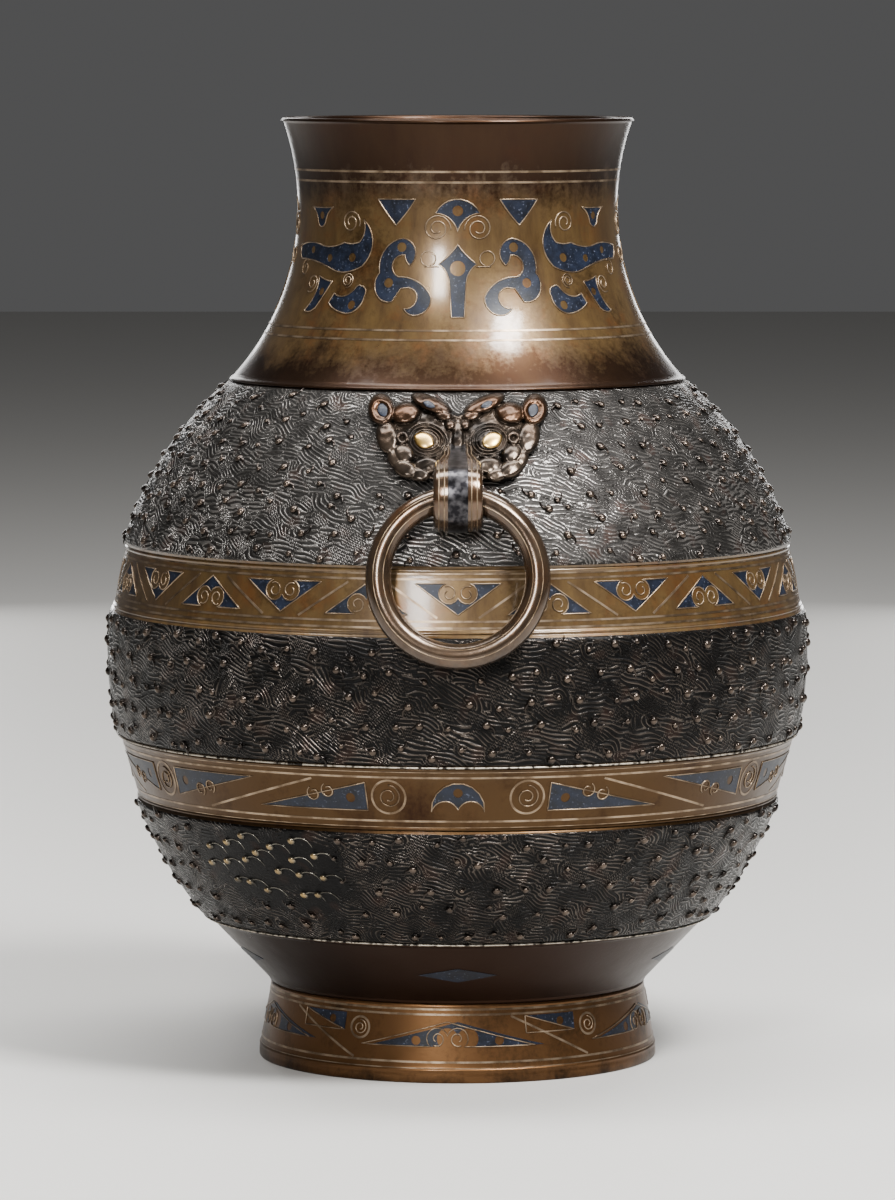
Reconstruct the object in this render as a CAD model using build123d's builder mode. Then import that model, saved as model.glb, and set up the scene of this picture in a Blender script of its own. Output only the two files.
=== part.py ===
# Bronze hu: a round-bellied wine vessel with inlaid bands, two animal masks and two swinging rings.
# Millimetres. The vessel's axis is Z, it stands on Z = 0 and its front faces -Y.

import os
from math import atan2, cos, degrees, hypot, pi, radians, sin, sqrt, tan

from build123d import *

os.makedirs("parts", exist_ok=True)

# Heights of the vessel's levels above the table
lip_z = 320.0
waist_z = 290.0
skirt_z = 231.3
shoulder_top_z = 175.6
shoulder_low_z = 154.2
equator_z = 140.0
belly_top_z = 110.9
belly_low_z = 89.3
base_top_z = 48.9
foot_top_z = 26.0
foot_rim_z = 3.5

# Radii of the outside at those levels
waist_r = 54.3
skirt_r = 77.5
under_skirt_r = 75.5
belly_r = 118.0
base_top_r = 85.5
foot_top_r = 63.6
foot_rim_r = 67.8

# Walls of the casting, and the height of its carved belts above the smooth bands
wall = 4.0
lip_round = 1.2
belt_rise = 1.2
foot_wall = 3.6
plate_thick = 4.0
plate_gap = 0.1
plate_lap = 2.0

# Inlay: sheet let into the bronze, and wire hammered into grooves
inlay_depth = 0.8
wire_wide = 0.7
wire_deep = 0.6
wire_gap = 1.1
pocket_rise = 1.0

# Heights of the plain hoops of wire on each band
neck_hoops = (302.5, 299.0, 250.4, 247.3)
shoulder_hoops = (174.0, 172.2, 158.7, 156.6)
belly_hoops = (109.6, 107.6, 92.9, 90.6)
foot_hoops = (24.3, 22.6, 7.0, 4.8)

# Neck ornament: width, height above the table and turn from the front of each motif
neck_faces = 2
fan_w, fan_z = 14.8, 288.9
arrow_w, arrow_z = 12.6, 265.9
fan_turns = 4
corner_w, corner_z, corner_turn = 13.4, 289.4, 22.0
scroll_w, scroll_z, scroll_turn = 20.0, 267.8, 19.2
bird_w, bird_z, bird_turn = 38.0, 277.5, 50.0
bud_w, bud_z, bud_turn = 13.0, 287.2, 56.5
moon_w, moon_z, moon_turn = 14.6, 259.8, 38.5
leaf_w, leaf_z, leaf_turn = 11.0, 261.9, 51.0

# Shoulder band: triangles standing and hanging by turns
shoulder_pairs = 12
triangle_w = 28.0
triangle_z = 165.8
shoulder_slant_w = 16.8

# Belly band, each unit alike on both sides of its crescent
belly_units = 3
crescent_w, crescent_z = 17.2, 101.0
roundel_r, roundel_turn = 5.9, 11.6
blade_w, blade_z = 39.0, 101.0
blade_turn, hung_blade_turn = 25.4, 46.3
belly_slant_w, belly_slant_turn = 44.0, 36.0

# Base cone and foot
lozenge_count = 5
lozenge_w, lozenge_z = 26.0, 37.2
foot_units = 5
foot_peak_w, foot_peak_z = 58.0, 16.2
thorn_w, thorn_z, thorn_turn = 18.4, 19.0, 28.6
eyelet_r, eyelet_z, eyelet_turn = 3.8, 17.4, 42.0
foot_slant_w, foot_slant_turn = 28.0, 28.6

# Studs of the carved belts, their turns from the front. A mended patch has studs of its own.
stud_spacing = 9.8
stud_shake = 0.4
shake_up, shake_round = 0.618034, 0.754878
stud_r = 1.5
stud_rise = 1.2
stud_root = 0.4
stud_taper = 25.0
stud_clear = 3.0
mend_turns = (-55.0, -23.0)
mend_levels = (62.5, 87.5)
mend_studs = ((-50.6, 79.7), (-45.4, 81.9), (-41.2, 84.8), (-35.2, 81.9), (-30.3, 84.5), (-26.3, 79.7),
              (-38.9, 79.3), (-41.9, 76.5), (-47.2, 75.0), (-52.1, 73.7), (-31.1, 77.8), (-34.9, 73.4),
              (-30.4, 72.7), (-25.4, 72.2), (-46.3, 68.7), (-43.0, 68.4), (-39.2, 66.1), (-30.8, 65.5),
              (-27.6, 65.9))

# Mask: plates of different heights over the carved belt
mask_w = 59.0
mask_z = 217.0
mask_plate = 2.6
mask_socket = 3.6
mask_brow = 4.4
mask_boss = 5.2
eye_w, eye_h = 6.0, 4.8

# Strap loop, swinging ring and their play
ring_r = 25.8
ring_tube_r = 4.2
ring_lean = 13.0
ring_pivot_y = 113.0
ring_pivot_z = 198.4
strap_w = 16.0
strap_thick = 5.0
strap_round = 1.2
strap_slope = 17.0
ring_play = 0.3
tenon_w = 8.0
tenon_thick = 3.0
tenon_gap = 0.1
tenon_head = 1.0
stripe_w = 6.5
strap_wire_xs = (4.4, 6.3)
ring_wire_tilt = 24.0


# The vessel's curves. Each is an arc that stands upright at its crest and passes through one more point.


def arc_axis(crest_r, end_r, rise):
    """Radius at which the arc's centre lies, level with its crest."""
    return (end_r**2 + rise**2 - crest_r**2) / (2 * (end_r - crest_r))


neck_axis = arc_axis(waist_r, skirt_r, waist_z - skirt_z)
upper_axis = arc_axis(belly_r, under_skirt_r, skirt_z - equator_z)
lower_axis = arc_axis(belly_r, base_top_r, equator_z - base_top_z)


def neck_point(z, sink=0.0):
    """Point of the neck's outside at height z, or of a surface that far under it."""
    bend = neck_axis - waist_r + sink
    return neck_axis - sqrt(bend**2 - (z - waist_z) ** 2), z


def belly_point(z, lift=0.0):
    """Point of the belly's smooth outside at height z, or of a surface that far over it."""
    axis_r = upper_axis if z >= equator_z else lower_axis
    bend = belly_r - axis_r + lift
    return axis_r + sqrt(bend**2 - (z - equator_z) ** 2), z


def curve(point, z_from, z_to, offset):
    """Arc along the neck or the belly between two heights, on one side of the equator."""
    middle = (z_from + z_to) / 2
    ThreePointArc(point(z_from, offset), point(middle, offset), point(z_to, offset))


def cone_skin(top, low, depth, rise=0.0):
    """Thin hollow cone under the straight face from top to low, standing proud of it by rise."""
    slope = hypot(top[0] - low[0], top[1] - low[1])
    out = ((top[1] - low[1]) / slope, (low[0] - top[0]) / slope)
    corners = [(p[0] + out[0] * d, p[1] + out[1] * d) for p, d in
               ((top, rise), (low, rise), (low, -depth), (top, -depth))]
    with BuildPart() as skin:
        with BuildSketch(Plane.XZ):
            with BuildLine():
                Polyline(*corners, close=True)
            make_face()
        revolve(axis=Axis.Z)
    return skin.part


def curved_skin(point, z_from, z_to, inner, outer):
    """Thin shell between two surfaces that follow the neck or the belly."""
    with BuildPart() as skin:
        with BuildSketch(Plane.XZ):
            with BuildLine():
                curve(point, z_from, z_to, inner)
                curve(point, z_from, z_to, outer)
                Line(point(z_from, inner), point(z_from, outer))
                Line(point(z_to, inner), point(z_to, outer))
            make_face()
        revolve(axis=Axis.Z)
    return skin.part


# Inlay outlines, drawn for a width of 1. Each corner is x, y and the bow of the edge to the next
# corner, clockwise, so that a positive bow swells outwards. Holes and bites are x, y, radius.

fan = [(-0.5, 0.0, 0.31), (0.5, 0.0, -0.11), (0.0, -0.42, -0.11)]
fan_holes = [(0.0, 0.05, 0.12)]
arrow = [(-0.5, 0.49, -0.03), (0.0, 1.0, -0.03), (0.5, 0.49, -0.06), (0.22, 0.02, 0.0),
         (0.17, -0.89, 0.0), (-0.17, -0.89, 0.0), (-0.22, 0.02, -0.06)]
arrow_holes = [(0.0, 0.38, 0.2)]
corner = [(-0.5, 0.3, 0.0), (0.5, 0.3, 0.02), (0.0, -0.34, 0.02)]
scroll = [(-0.39, 0.06, 0.16), (0.0, 0.635, 0.155), (0.1375, 0.1875, 0.02), (0.045, 0.36, -0.17),
          (-0.045, 0.0, 0.1), (0.545, -0.33, 0.2), (0.105, -0.52, -0.185), (0.15, -0.175, 0.0),
          (0.015, -0.19, 0.0), (-0.12, -0.41, 0.1), (-0.46, -0.145, 0.025)]
scroll_holes = [(-0.02, 0.49, 0.08), (-0.21, -0.1, 0.08)]
bird = [(-0.37, 0.235, -0.03), (-0.34, 0.04, -0.012), (-0.17, 0.034, -0.02), (0.11, 0.0, 0.03),
        (0.53, -0.01, 0.02), (0.48, -0.12, -0.026), (-0.07, -0.205, 0.035), (-0.4, -0.17, 0.09)]
bird_holes = [(-0.28, -0.095, 0.039), (-0.005, -0.105, 0.034), (0.27, -0.04, 0.032)]
bud = [(-0.5, 0.24, -0.01), (0.5, 0.24, -0.06), (0.18, -0.1, 0.16), (-0.18, -0.1, -0.06)]
bud_holes = [(0.0, 0.03, 0.1)]
moon = [(-0.49, 0.11, 0.07), (-0.35, 0.33, 0.03), (-0.21, 0.29, -0.13), (0.4, 0.15, 0.0),
        (0.52, -0.07, 0.05), (-0.1, -0.295, 0.12)]
moon_holes = [(-0.19, -0.1, 0.1)]
leaf = [(-0.42, 0.355, -0.03), (0.245, 0.51, -0.17), (0.58, -0.535, 0.08), (0.03, -0.445, 0.0)]
leaf_holes = [(-0.045, 0.045, 0.115)]
triangle = [(-0.5, -0.18, 0.0), (0.0, 0.18, 0.0), (0.5, -0.18, 0.0), (0.136, -0.18, -0.168),
            (0.0, -0.015, -0.168), (-0.136, -0.18, 0.0)]
crescent = [(-0.5, -0.28, 0.56), (0.5, -0.28, -0.19), (0.0, -0.245, -0.19)]
crescent_holes = [(0.0, 0.09, 0.09)]
blade = [(-0.5, -0.12, 0.0), (-0.5, 0.12, 0.0), (0.5, -0.12, 0.0)]
blade_holes = [(-0.36, -0.015, 0.04), (-0.165, 0.04, 0.054), (-0.03, 0.007, 0.054)]
lozenge = [(-0.5, 0.0, 0.0), (0.0, 0.1, 0.0), (0.5, 0.0, 0.0), (0.0, -0.1, 0.0)]
foot_peak = [(-0.5, -0.07, 0.0), (0.0, 0.07, 0.0), (0.5, -0.07, 0.0), (0.1, -0.07, -0.078),
             (0.0, -0.01, -0.078), (-0.1, -0.07, 0.0)]
foot_peak_holes = [(0.24, -0.037, 0.026), (-0.24, -0.037, 0.026)]
thorn = [(-0.5, -0.155, 0.0), (-0.5, 0.155, 0.0), (0.5, -0.155, 0.0)]
thorn_holes = [(-0.2, -0.02, 0.075)]


def facing(turn, height, upright=1):
    """Plane through the axis, looking straight out at that turn from the front; -1 stands it on its head."""
    across = (upright * cos(radians(turn)), upright * sin(radians(turn)), 0)
    return Plane(origin=(0, 0, height), x_dir=across, z_dir=(sin(radians(turn)), -cos(radians(turn)), 0))


def shape(corners, holes, width, hand=1):
    """Face with bowed edges and round holes; a hand of -1 mirrors it."""
    with BuildSketch() as face:
        with BuildLine():
            for (x0, y0, bow), (x1, y1, _) in zip(corners, corners[1:] + corners[:1]):
                start = (hand * x0 * width, y0 * width)
                end = (hand * x1 * width, y1 * width)
                if bow:
                    SagittaArc(start, end, hand * bow * width)
                else:
                    Line(start, end)
        make_face()
        for x, y, r in holes:
            with Locations((hand * x * width, y * width)):
                Circle(r * width, mode=Mode.SUBTRACT)
    return face.sketch


def wire_ring(radius):
    """Flat ring of wire, seen square on."""
    with BuildSketch() as face:
        Circle(radius)
        Circle(radius - wire_wide, mode=Mode.SUBTRACT)
    return face.sketch


def wire_slant(run, drop):
    """Straight wire that runs and drops, seen square on."""
    with BuildSketch() as face:
        Rectangle(hypot(run, drop), wire_wide, rotation=degrees(atan2(-drop, run)))
    return face.sketch


def through_skin(face, plane, skin):
    """What a straight prism of the face cuts out of a thin skin on its side of the axis."""
    with BuildPart() as piece:
        with BuildSketch(plane):
            add(face)
        extrude(amount=belly_r + wall)
        add(skin, mode=Mode.INTERSECT)
    return piece.part


pockets = {}


def inlay(name, carrier, skins, repeats, *pieces):
    """Write one node of like inlays, set round the vessel, and keep the pockets that they lie in."""
    for label, skin in zip((name, None), skins):
        units = [through_skin(face, plane, skin) for face, plane in pieces]
        with BuildPart() as group:
            with PolarLocations(0, repeats):
                add(units)
        if label:
            group.part.label = label
            export_step(group.part, f"parts/{label}.step")
        else:
            pockets.setdefault(carrier, []).append(group.part)


def hoops(name, carrier, points):
    """Write one node of wire hoops flush with the faces at these points, and keep their grooves."""
    with BuildPart() as wires:
        with BuildSketch(Plane.XZ):
            for r, z, normal in points:
                with Locations((r, z)):
                    Rectangle(wire_deep, wire_wide, rotation=normal, align=(Align.MAX, Align.CENTER))
        revolve(axis=Axis.Z)
    wires.part.label = name
    export_step(wires.part, f"parts/{name}.step")
    with BuildPart() as grooves:
        with BuildSketch(Plane.XZ):
            for r, z, normal in points:
                with Locations((r, z)):
                    Rectangle(2 * wire_deep, wire_wide, rotation=normal)
        revolve(axis=Axis.Z)
    pockets.setdefault(carrier, []).append(grooves.part)


def on_cone(top, low, z):
    """Point and outward direction of a straight face at height z."""
    share = (top[1] - z) / (top[1] - low[1])
    normal = degrees(atan2(low[0] - top[0], top[1] - low[1]))
    return top[0] + share * (low[0] - top[0]), z, normal


def on_neck(z):
    """Point and outward direction of the neck at height z."""
    r, _ = neck_point(z)
    return r, z, degrees(atan2(waist_z - z, neck_axis - r))


# Neck ornament

neck_skins = (
    curved_skin(neck_point, skirt_z, lip_z, 0.0, inlay_depth),
    curved_skin(neck_point, skirt_z, lip_z, -pocket_rise, inlay_depth),
)
inlay("neck_fans", "body", neck_skins, fan_turns,
      (shape(fan, fan_holes, fan_w), facing(0, fan_z)))
inlay("neck_arrows", "body", neck_skins, fan_turns,
      (shape(arrow, arrow_holes, arrow_w), facing(0, arrow_z)))
for name, corners, holes, width, height, turn in (
    ("neck_corners", corner, [], corner_w, corner_z, corner_turn),
    ("neck_scrolls", scroll, scroll_holes, scroll_w, scroll_z, -scroll_turn),
    ("neck_birds", bird, bird_holes, bird_w, bird_z, bird_turn),
    ("neck_buds", bud, bud_holes, bud_w, bud_z, bud_turn),
    ("neck_moons", moon, moon_holes, moon_w, moon_z, moon_turn),
    ("neck_leaves", leaf, leaf_holes, leaf_w, leaf_z, leaf_turn),
):
    inlay(name, "body", neck_skins, neck_faces,
          (shape(corners, holes, width), facing(turn, height)),
          (shape(corners, holes, width, -1), facing(-turn, height)))
hoops("neck_hoops", "body", [on_neck(z) for z in neck_hoops])

# Shoulder band

shoulder_top = belly_point(shoulder_top_z)
shoulder_low = belly_point(shoulder_low_z)
shoulder_skins = (
    cone_skin(shoulder_top, shoulder_low, inlay_depth),
    cone_skin(shoulder_top, shoulder_low, inlay_depth, pocket_rise),
)
shoulder_step = 360 / shoulder_pairs
slant_top_z = shoulder_hoops[1] - wire_gap
slant_low_z = shoulder_hoops[2] + wire_gap
slant_z = (slant_top_z + slant_low_z) / 2
slant_drop = slant_top_z - slant_low_z
inlay("shoulder_hanging_triangles", "body", shoulder_skins, shoulder_pairs,
      (shape(triangle, [], triangle_w), facing(0, triangle_z, -1)))
inlay("shoulder_standing_triangles", "body", shoulder_skins, shoulder_pairs,
      (shape(triangle, [], triangle_w), facing(shoulder_step / 2, triangle_z)))
inlay("shoulder_slant_wires", "body", shoulder_skins, shoulder_pairs,
      (wire_slant(shoulder_slant_w, -slant_drop), facing(shoulder_step / 4, slant_z)),
      (wire_slant(shoulder_slant_w, slant_drop), facing(-shoulder_step / 4, slant_z)))
hoops("shoulder_hoops", "body", [on_cone(shoulder_top, shoulder_low, z) for z in shoulder_hoops])

# Belly band

belly_top = belly_point(belly_top_z)
belly_low = belly_point(belly_low_z)
belly_skins = (
    cone_skin(belly_top, belly_low, inlay_depth),
    cone_skin(belly_top, belly_low, inlay_depth, pocket_rise),
)
belly_slant_top_z = belly_hoops[1] - wire_gap
belly_slant_low_z = belly_hoops[2] + wire_gap
belly_slant_z = (belly_slant_top_z + belly_slant_low_z) / 2
belly_slant_drop = belly_slant_top_z - belly_slant_low_z
inlay("belly_crescents", "body", belly_skins, belly_units,
      (shape(crescent, crescent_holes, crescent_w), facing(0, crescent_z)))
inlay("belly_roundels", "body", belly_skins, belly_units,
      *((wire_ring(roundel_r), facing(turn, crescent_z))
        for turn in (roundel_turn, -roundel_turn, 180 / belly_units)))
inlay("belly_standing_blades", "body", belly_skins, belly_units,
      (shape(blade, blade_holes, blade_w), facing(blade_turn, blade_z)),
      (shape(blade, blade_holes, blade_w, -1), facing(-blade_turn, blade_z)))
inlay("belly_hanging_blades", "body", belly_skins, belly_units,
      (shape(blade, blade_holes, blade_w), facing(hung_blade_turn, blade_z, -1)),
      (shape(blade, blade_holes, blade_w, -1), facing(-hung_blade_turn, blade_z, -1)))
inlay("belly_slant_wires", "body", belly_skins, belly_units,
      (wire_slant(belly_slant_w, belly_slant_drop), facing(belly_slant_turn, belly_slant_z)),
      (wire_slant(belly_slant_w, -belly_slant_drop), facing(-belly_slant_turn, belly_slant_z)))
hoops("belly_hoops", "body", [on_cone(belly_top, belly_low, z) for z in belly_hoops])

# Base cone

base_top = belly_point(base_top_z)
base_low = (foot_top_r, foot_top_z)
base_skins = (
    cone_skin(base_top, base_low, inlay_depth),
    cone_skin(base_top, base_low, inlay_depth, pocket_rise),
)
inlay("base_lozenges", "body", base_skins, lozenge_count,
      (shape(lozenge, [], lozenge_w), facing(0, lozenge_z)))

# Foot ornament

foot_top = (foot_top_r, foot_top_z)
foot_rim = (foot_rim_r, foot_rim_z)
foot_skins = (
    cone_skin(foot_top, foot_rim, inlay_depth),
    cone_skin(foot_top, foot_rim, inlay_depth, pocket_rise),
)
foot_slant_top_z = foot_hoops[1] - wire_wide
foot_slant_low_z = foot_hoops[2] + wire_wide
foot_slant_z = (foot_slant_top_z + foot_slant_low_z) / 2
foot_slant_drop = foot_slant_top_z - foot_slant_low_z
inlay("foot_peaks", "foot", foot_skins, foot_units,
      (shape(foot_peak, foot_peak_holes, foot_peak_w), facing(0, foot_peak_z)))
inlay("foot_thorns", "foot", foot_skins, foot_units,
      (shape(thorn, thorn_holes, thorn_w), facing(thorn_turn, thorn_z, -1)))
inlay("foot_eyelets", "foot", foot_skins, foot_units,
      (wire_ring(eyelet_r), facing(eyelet_turn, eyelet_z)))
inlay("foot_slant_wires", "foot", foot_skins, foot_units,
      (wire_slant(foot_slant_w, foot_slant_drop), facing(foot_slant_turn, foot_slant_z)))
hoops("foot_hoops", "foot", [on_cone(foot_top, foot_rim, z) for z in foot_hoops])

# Mask: bowed plates over the carved belt, each cut from a skin of its own height. Outlines are drawn
# for a mask 1 wide, on its right half, and mirrored.

mask_half = [(0.0, 0.125, 0.017), (0.19, 0.197, -0.007), (0.314, 0.164, 0.02), (0.425, 0.219, 0.03),
             (0.5, 0.132, 0.02), (0.44, 0.066, 0.0), (0.447, 0.025, 0.014), (0.358, -0.09, 0.005),
             (0.347, -0.154, 0.02), (0.258, -0.219, 0.008), (0.136, -0.212, 0.0), (0.0, -0.195, 0.0)]
brow_half = [(0.0, 0.06, 0.0), (0.0, 0.11, 0.012), (0.19, 0.185, 0.012), (0.32, 0.13, 0.0), (0.2, 0.095, -0.012)]
nose_half = [(0.0, -0.18, 0.0), (0.0, 0.09, 0.0), (0.04, 0.09, -0.01), (0.05, -0.18, 0.0)]
socket_spots = [(0.18, -0.01, 0.085)]
boss_spots = [(0.298, -0.002, 0.037), (0.28, -0.145, 0.066), (0.425, 0.145, 0.066)]
ear_drops = [(0.43, 0.15, 0.028)]
brow_drops = [(0.21, 0.14, 0.024)]
lens = [(-0.5, 0.0, 0.5 * eye_h / eye_w), (0.5, 0.0, 0.5 * eye_h / eye_w)]


def mask_skin(low, high):
    """Skin over the carved belt, between two heights above it."""
    return curved_skin(belly_point, equator_z, skirt_z + mask_boss, belt_rise + low, belt_rise + high)


def spots(places, hand):
    """Round faces at x, y, radius on a mask 1 wide."""
    with BuildSketch() as face:
        for x, y, r in places:
            with Locations((hand * x * mask_w, y * mask_w)):
                Circle(r * mask_w)
    return face.sketch


def both_hands(draw):
    """The same face drawn for the right and the left half of the mask."""
    return [draw(1), draw(-1)]


def eye(hand):
    """Almond eye in its socket."""
    x, y, _ = socket_spots[0]
    with BuildSketch() as face:
        with Locations((hand * x * mask_w, y * mask_w)):
            add(shape(lens, [], eye_w))
    return face.sketch


def mask_cut(faces, low, high):
    """Solids of these faces between two heights over the belt."""
    skin = mask_skin(low, high)
    return [through_skin(face, facing(0, mask_z), skin) for face in faces]


plates = (
    mask_cut(both_hands(lambda hand: shape(mask_half, [], mask_w, hand)), 0.0, mask_plate)
    + mask_cut(both_hands(lambda hand: shape(brow_half, [], mask_w, hand)), mask_plate / 2, mask_brow)
    + mask_cut(both_hands(lambda hand: shape(nose_half, [], mask_w, hand)), mask_plate / 2, mask_brow)
    + mask_cut(both_hands(lambda hand: spots(socket_spots, hand)), mask_plate / 2, mask_socket)
    + mask_cut(both_hands(lambda hand: spots(boss_spots, hand)), mask_plate / 2, mask_boss)
)
eye_faces = both_hands(eye)
eyes = mask_cut(eye_faces, mask_socket - inlay_depth, mask_socket)
eye_pockets = mask_cut(eye_faces, mask_socket - inlay_depth, mask_boss + pocket_rise)
ear_faces = both_hands(lambda hand: spots(ear_drops, hand))
brow_faces = both_hands(lambda hand: spots(brow_drops, hand))
drops = (mask_cut(ear_faces, mask_boss - inlay_depth, mask_boss)
         + mask_cut(brow_faces, mask_brow - inlay_depth, mask_brow))
drop_pockets = (mask_cut(ear_faces, mask_boss - inlay_depth, mask_boss + pocket_rise)
                + mask_cut(brow_faces, mask_brow - inlay_depth, mask_boss + pocket_rise))

with BuildPart() as mask_block:
    add(plates)
    add(eye_pockets + drop_pockets, mode=Mode.SUBTRACT)

# Strap loop: a bronze strap bent round the ring, with a tenon at each end through mask and wall

ring_hole_r = ring_r - ring_tube_r
ring_sag = ring_hole_r - sqrt(ring_hole_r**2 - (strap_w / 2) ** 2)
eye_r = ring_tube_r + ring_sag + ring_play
strap_r = eye_r + strap_thick
middle_r = eye_r + strap_thick / 2
pivot_y = -ring_pivot_y
slope = radians(strap_slope)


def strap_top(radius, back=0.0):
    """Where the bend of that radius runs out into the sloping upper leg, or a point further back."""
    return (pivot_y - radius * sin(slope) + back,
            ring_pivot_z + radius * cos(slope) + back * tan(slope))


def strap_bend(radius):
    """Arc round the ring's pivot from the upper leg, by the front, to the level lower leg."""
    ThreePointArc(strap_top(radius), (pivot_y - radius, ring_pivot_z), (pivot_y, ring_pivot_z - radius))


def strap_layer(inner, outer, middle_x, width):
    """Band round the bend of the strap."""
    with BuildPart() as layer:
        with BuildSketch(Plane.YZ.offset(middle_x)):
            with BuildLine():
                strap_bend(inner)
                strap_bend(outer)
                Line(strap_top(inner), strap_top(outer))
                Line((pivot_y, ring_pivot_z - inner), (pivot_y, ring_pivot_z - outer))
            make_face()
        extrude(amount=width / 2, both=True)
    return layer.part


upper_root_y = -belly_point(ring_pivot_z + strap_r, belt_rise + mask_brow)[0]
upper_level = strap_top(middle_r, upper_root_y - strap_top(middle_r)[0])[1]
lower_level = ring_pivot_z - middle_r
lower_root_y = -belly_point(lower_level, belt_rise)[0]


def tenons(gap):
    """Two flat tongues from the strap's legs to the inside of the wall, with a gap all round."""
    with BuildPart() as tongues:
        for level, root_y in ((upper_level, upper_root_y), (lower_level, lower_root_y)):
            start_y = root_y - strap_thick / 2
            end_y = tenon_head - belly_point(level, -wall)[0]
            with Locations((0, start_y, level)):
                Box(tenon_w + 2 * gap, end_y - start_y, tenon_thick + 2 * gap,
                    align=(Align.CENTER, Align.MIN, Align.CENTER))
    return tongues.part


with BuildPart() as belly_core:
    with BuildSketch(Plane.XZ):
        with BuildLine():
            curve(belly_point, equator_z, skirt_z + mask_boss, belt_rise)
            top_r, top_z = belly_point(skirt_z + mask_boss, belt_rise)
            Polyline((top_r, top_z), (0, top_z), (0, equator_z), belly_point(equator_z, belt_rise))
        make_face()
    revolve(axis=Axis.Z)

leg_run = ring_pivot_y - under_skirt_r
with BuildPart() as strap:
    with BuildSketch(Plane.YZ):
        with BuildLine():
            strap_bend(strap_r)
            strap_bend(eye_r)
            Polyline(strap_top(strap_r), strap_top(strap_r, leg_run),
                     strap_top(eye_r, leg_run), strap_top(eye_r))
            Polyline((pivot_y, ring_pivot_z - strap_r), (pivot_y + leg_run, ring_pivot_z - strap_r),
                     (pivot_y + leg_run, ring_pivot_z - eye_r), (pivot_y, ring_pivot_z - eye_r))
        make_face()
    extrude(amount=strap_w / 2, both=True)
    sides = strap.faces().filter_by(Axis.X)
    bend_edges = sides.edges().filter_by(GeomType.CIRCLE).group_by(SortBy.RADIUS)[-1]
    fillet(bend_edges, strap_round)
    add(belly_core.part, mode=Mode.SUBTRACT)
    add(mask_block.part, mode=Mode.SUBTRACT)
    add(tenons(0.0))

stripe = strap_layer(strap_r - inlay_depth, strap_r, 0.0, stripe_w)
strap_wires = [strap_layer(strap_r - wire_deep, strap_r, hand * x, wire_wide)
               for x in strap_wire_xs for hand in (1, -1)]
with BuildPart() as strap_grooves:
    add(strap_layer(strap_r - inlay_depth, strap_r + pocket_rise, 0.0, stripe_w))
    for x in strap_wire_xs:
        for hand in (1, -1):
            add(strap_layer(strap_r - wire_deep, strap_r + pocket_rise, hand * x, wire_wide))

# Ring: a closed bronze hoop that hangs through the strap and leans on the belly, with two inlaid lines

lean = radians(ring_lean)
hang = Vector(0, -sin(lean), -cos(lean))
ring_centre = Vector(0, pivot_y, ring_pivot_z) + hang * ring_r
ring_axis = Axis(ring_centre, (0, -cos(lean), sin(lean)))
ring_plane = Plane(origin=ring_centre, x_dir=hang, z_dir=(-1, 0, 0))
wire_spots = [(ring_r + ring_tube_r * sin(radians(tilt)), ring_tube_r * cos(radians(tilt)), 90 - tilt)
              for tilt in (ring_wire_tilt, -ring_wire_tilt)]

with BuildPart() as ring_wires:
    with BuildSketch(ring_plane):
        for x, y, normal in wire_spots:
            with Locations((x, y)):
                Rectangle(wire_deep, wire_wide, rotation=normal, align=(Align.MAX, Align.CENTER))
    revolve(axis=ring_axis)

with BuildPart() as ring:
    with BuildSketch(ring_plane):
        with Locations((ring_r, 0)):
            Circle(ring_tube_r)
        for x, y, normal in wire_spots:
            with Locations((x, y)):
                Rectangle(2 * wire_deep, wire_wide, rotation=normal, mode=Mode.SUBTRACT)
    revolve(axis=ring_axis)

# The same fittings on the front and, turned half round, on the rear

with BuildPart() as mask_body:
    add(mask_block.part)
    add(tenons(tenon_gap), mode=Mode.SUBTRACT)

with BuildPart() as strap_body:
    add(strap.part)
    add(strap_grooves.part, mode=Mode.SUBTRACT)

fittings = {
    "mask": [mask_body.part],
    "mask_eyes": eyes,
    "mask_drops": drops,
    "ring_strap": [strap_body.part],
    "strap_stripe": [stripe],
    "strap_wires": strap_wires,
    "ring": [ring.part],
    "ring_wires": [ring_wires.part],
}
for side, turn in (("front", 0), ("rear", 180)):
    for fitting, solids in fittings.items():
        with BuildPart() as node:
            add(solids, rotation=(0, 0, turn))
        node.part.label = f"{fitting}_{side}"
        export_step(node.part, f"parts/{fitting}_{side}.step")

# Studs of the carved belts: low six-sided buttons of the casting, in staggered rows shaken out of line.
# Every second one has its own shape here; the smaller ones between belong to the chasing.


def stud_plane(turn, z):
    """Plane square to a carved belt, a stud's root under its surface."""
    axis_r = upper_axis if z >= equator_z else lower_axis
    r, _ = belly_point(z, belt_rise)
    spot = Vector(r, 0, z).rotate(Axis.Z, turn - 90)
    outward = Vector(r - axis_r, 0, z - equator_z).rotate(Axis.Z, turn - 90).normalized()
    return Plane(origin=spot - outward * stud_root, z_dir=outward)


def shaken(index, share):
    """How far a stud stands out of its row: uneven from one to the next, and the same each time."""
    return stud_shake * stud_spacing * (index**2 * share % 1 - 0.5)


def is_clear(turn, z):
    """Whether a stud here stands clear of the masks, the straps, the rings at rest and the mended patch."""
    x = abs(belly_point(z, belt_rise)[0] * sin(radians(turn)))
    mask_low_z = mask_z + mask_w * min(y for _, y, _ in mask_half)
    under_mask = x < mask_w / 2 + stud_clear and z > mask_low_z - stud_clear
    under_strap = x < strap_w / 2 + stud_clear and z > ring_pivot_z - strap_r - stud_clear
    off_ring = abs(hypot(x, z - ring_centre.Z) - ring_r) - ring_tube_r
    under_ring = off_ring < stud_clear and z < shoulder_low_z
    mended = mend_turns[0] < turn < mend_turns[1] and mend_levels[0] < z < mend_levels[1]
    return not (under_mask or under_strap or under_ring or mended)


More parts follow.
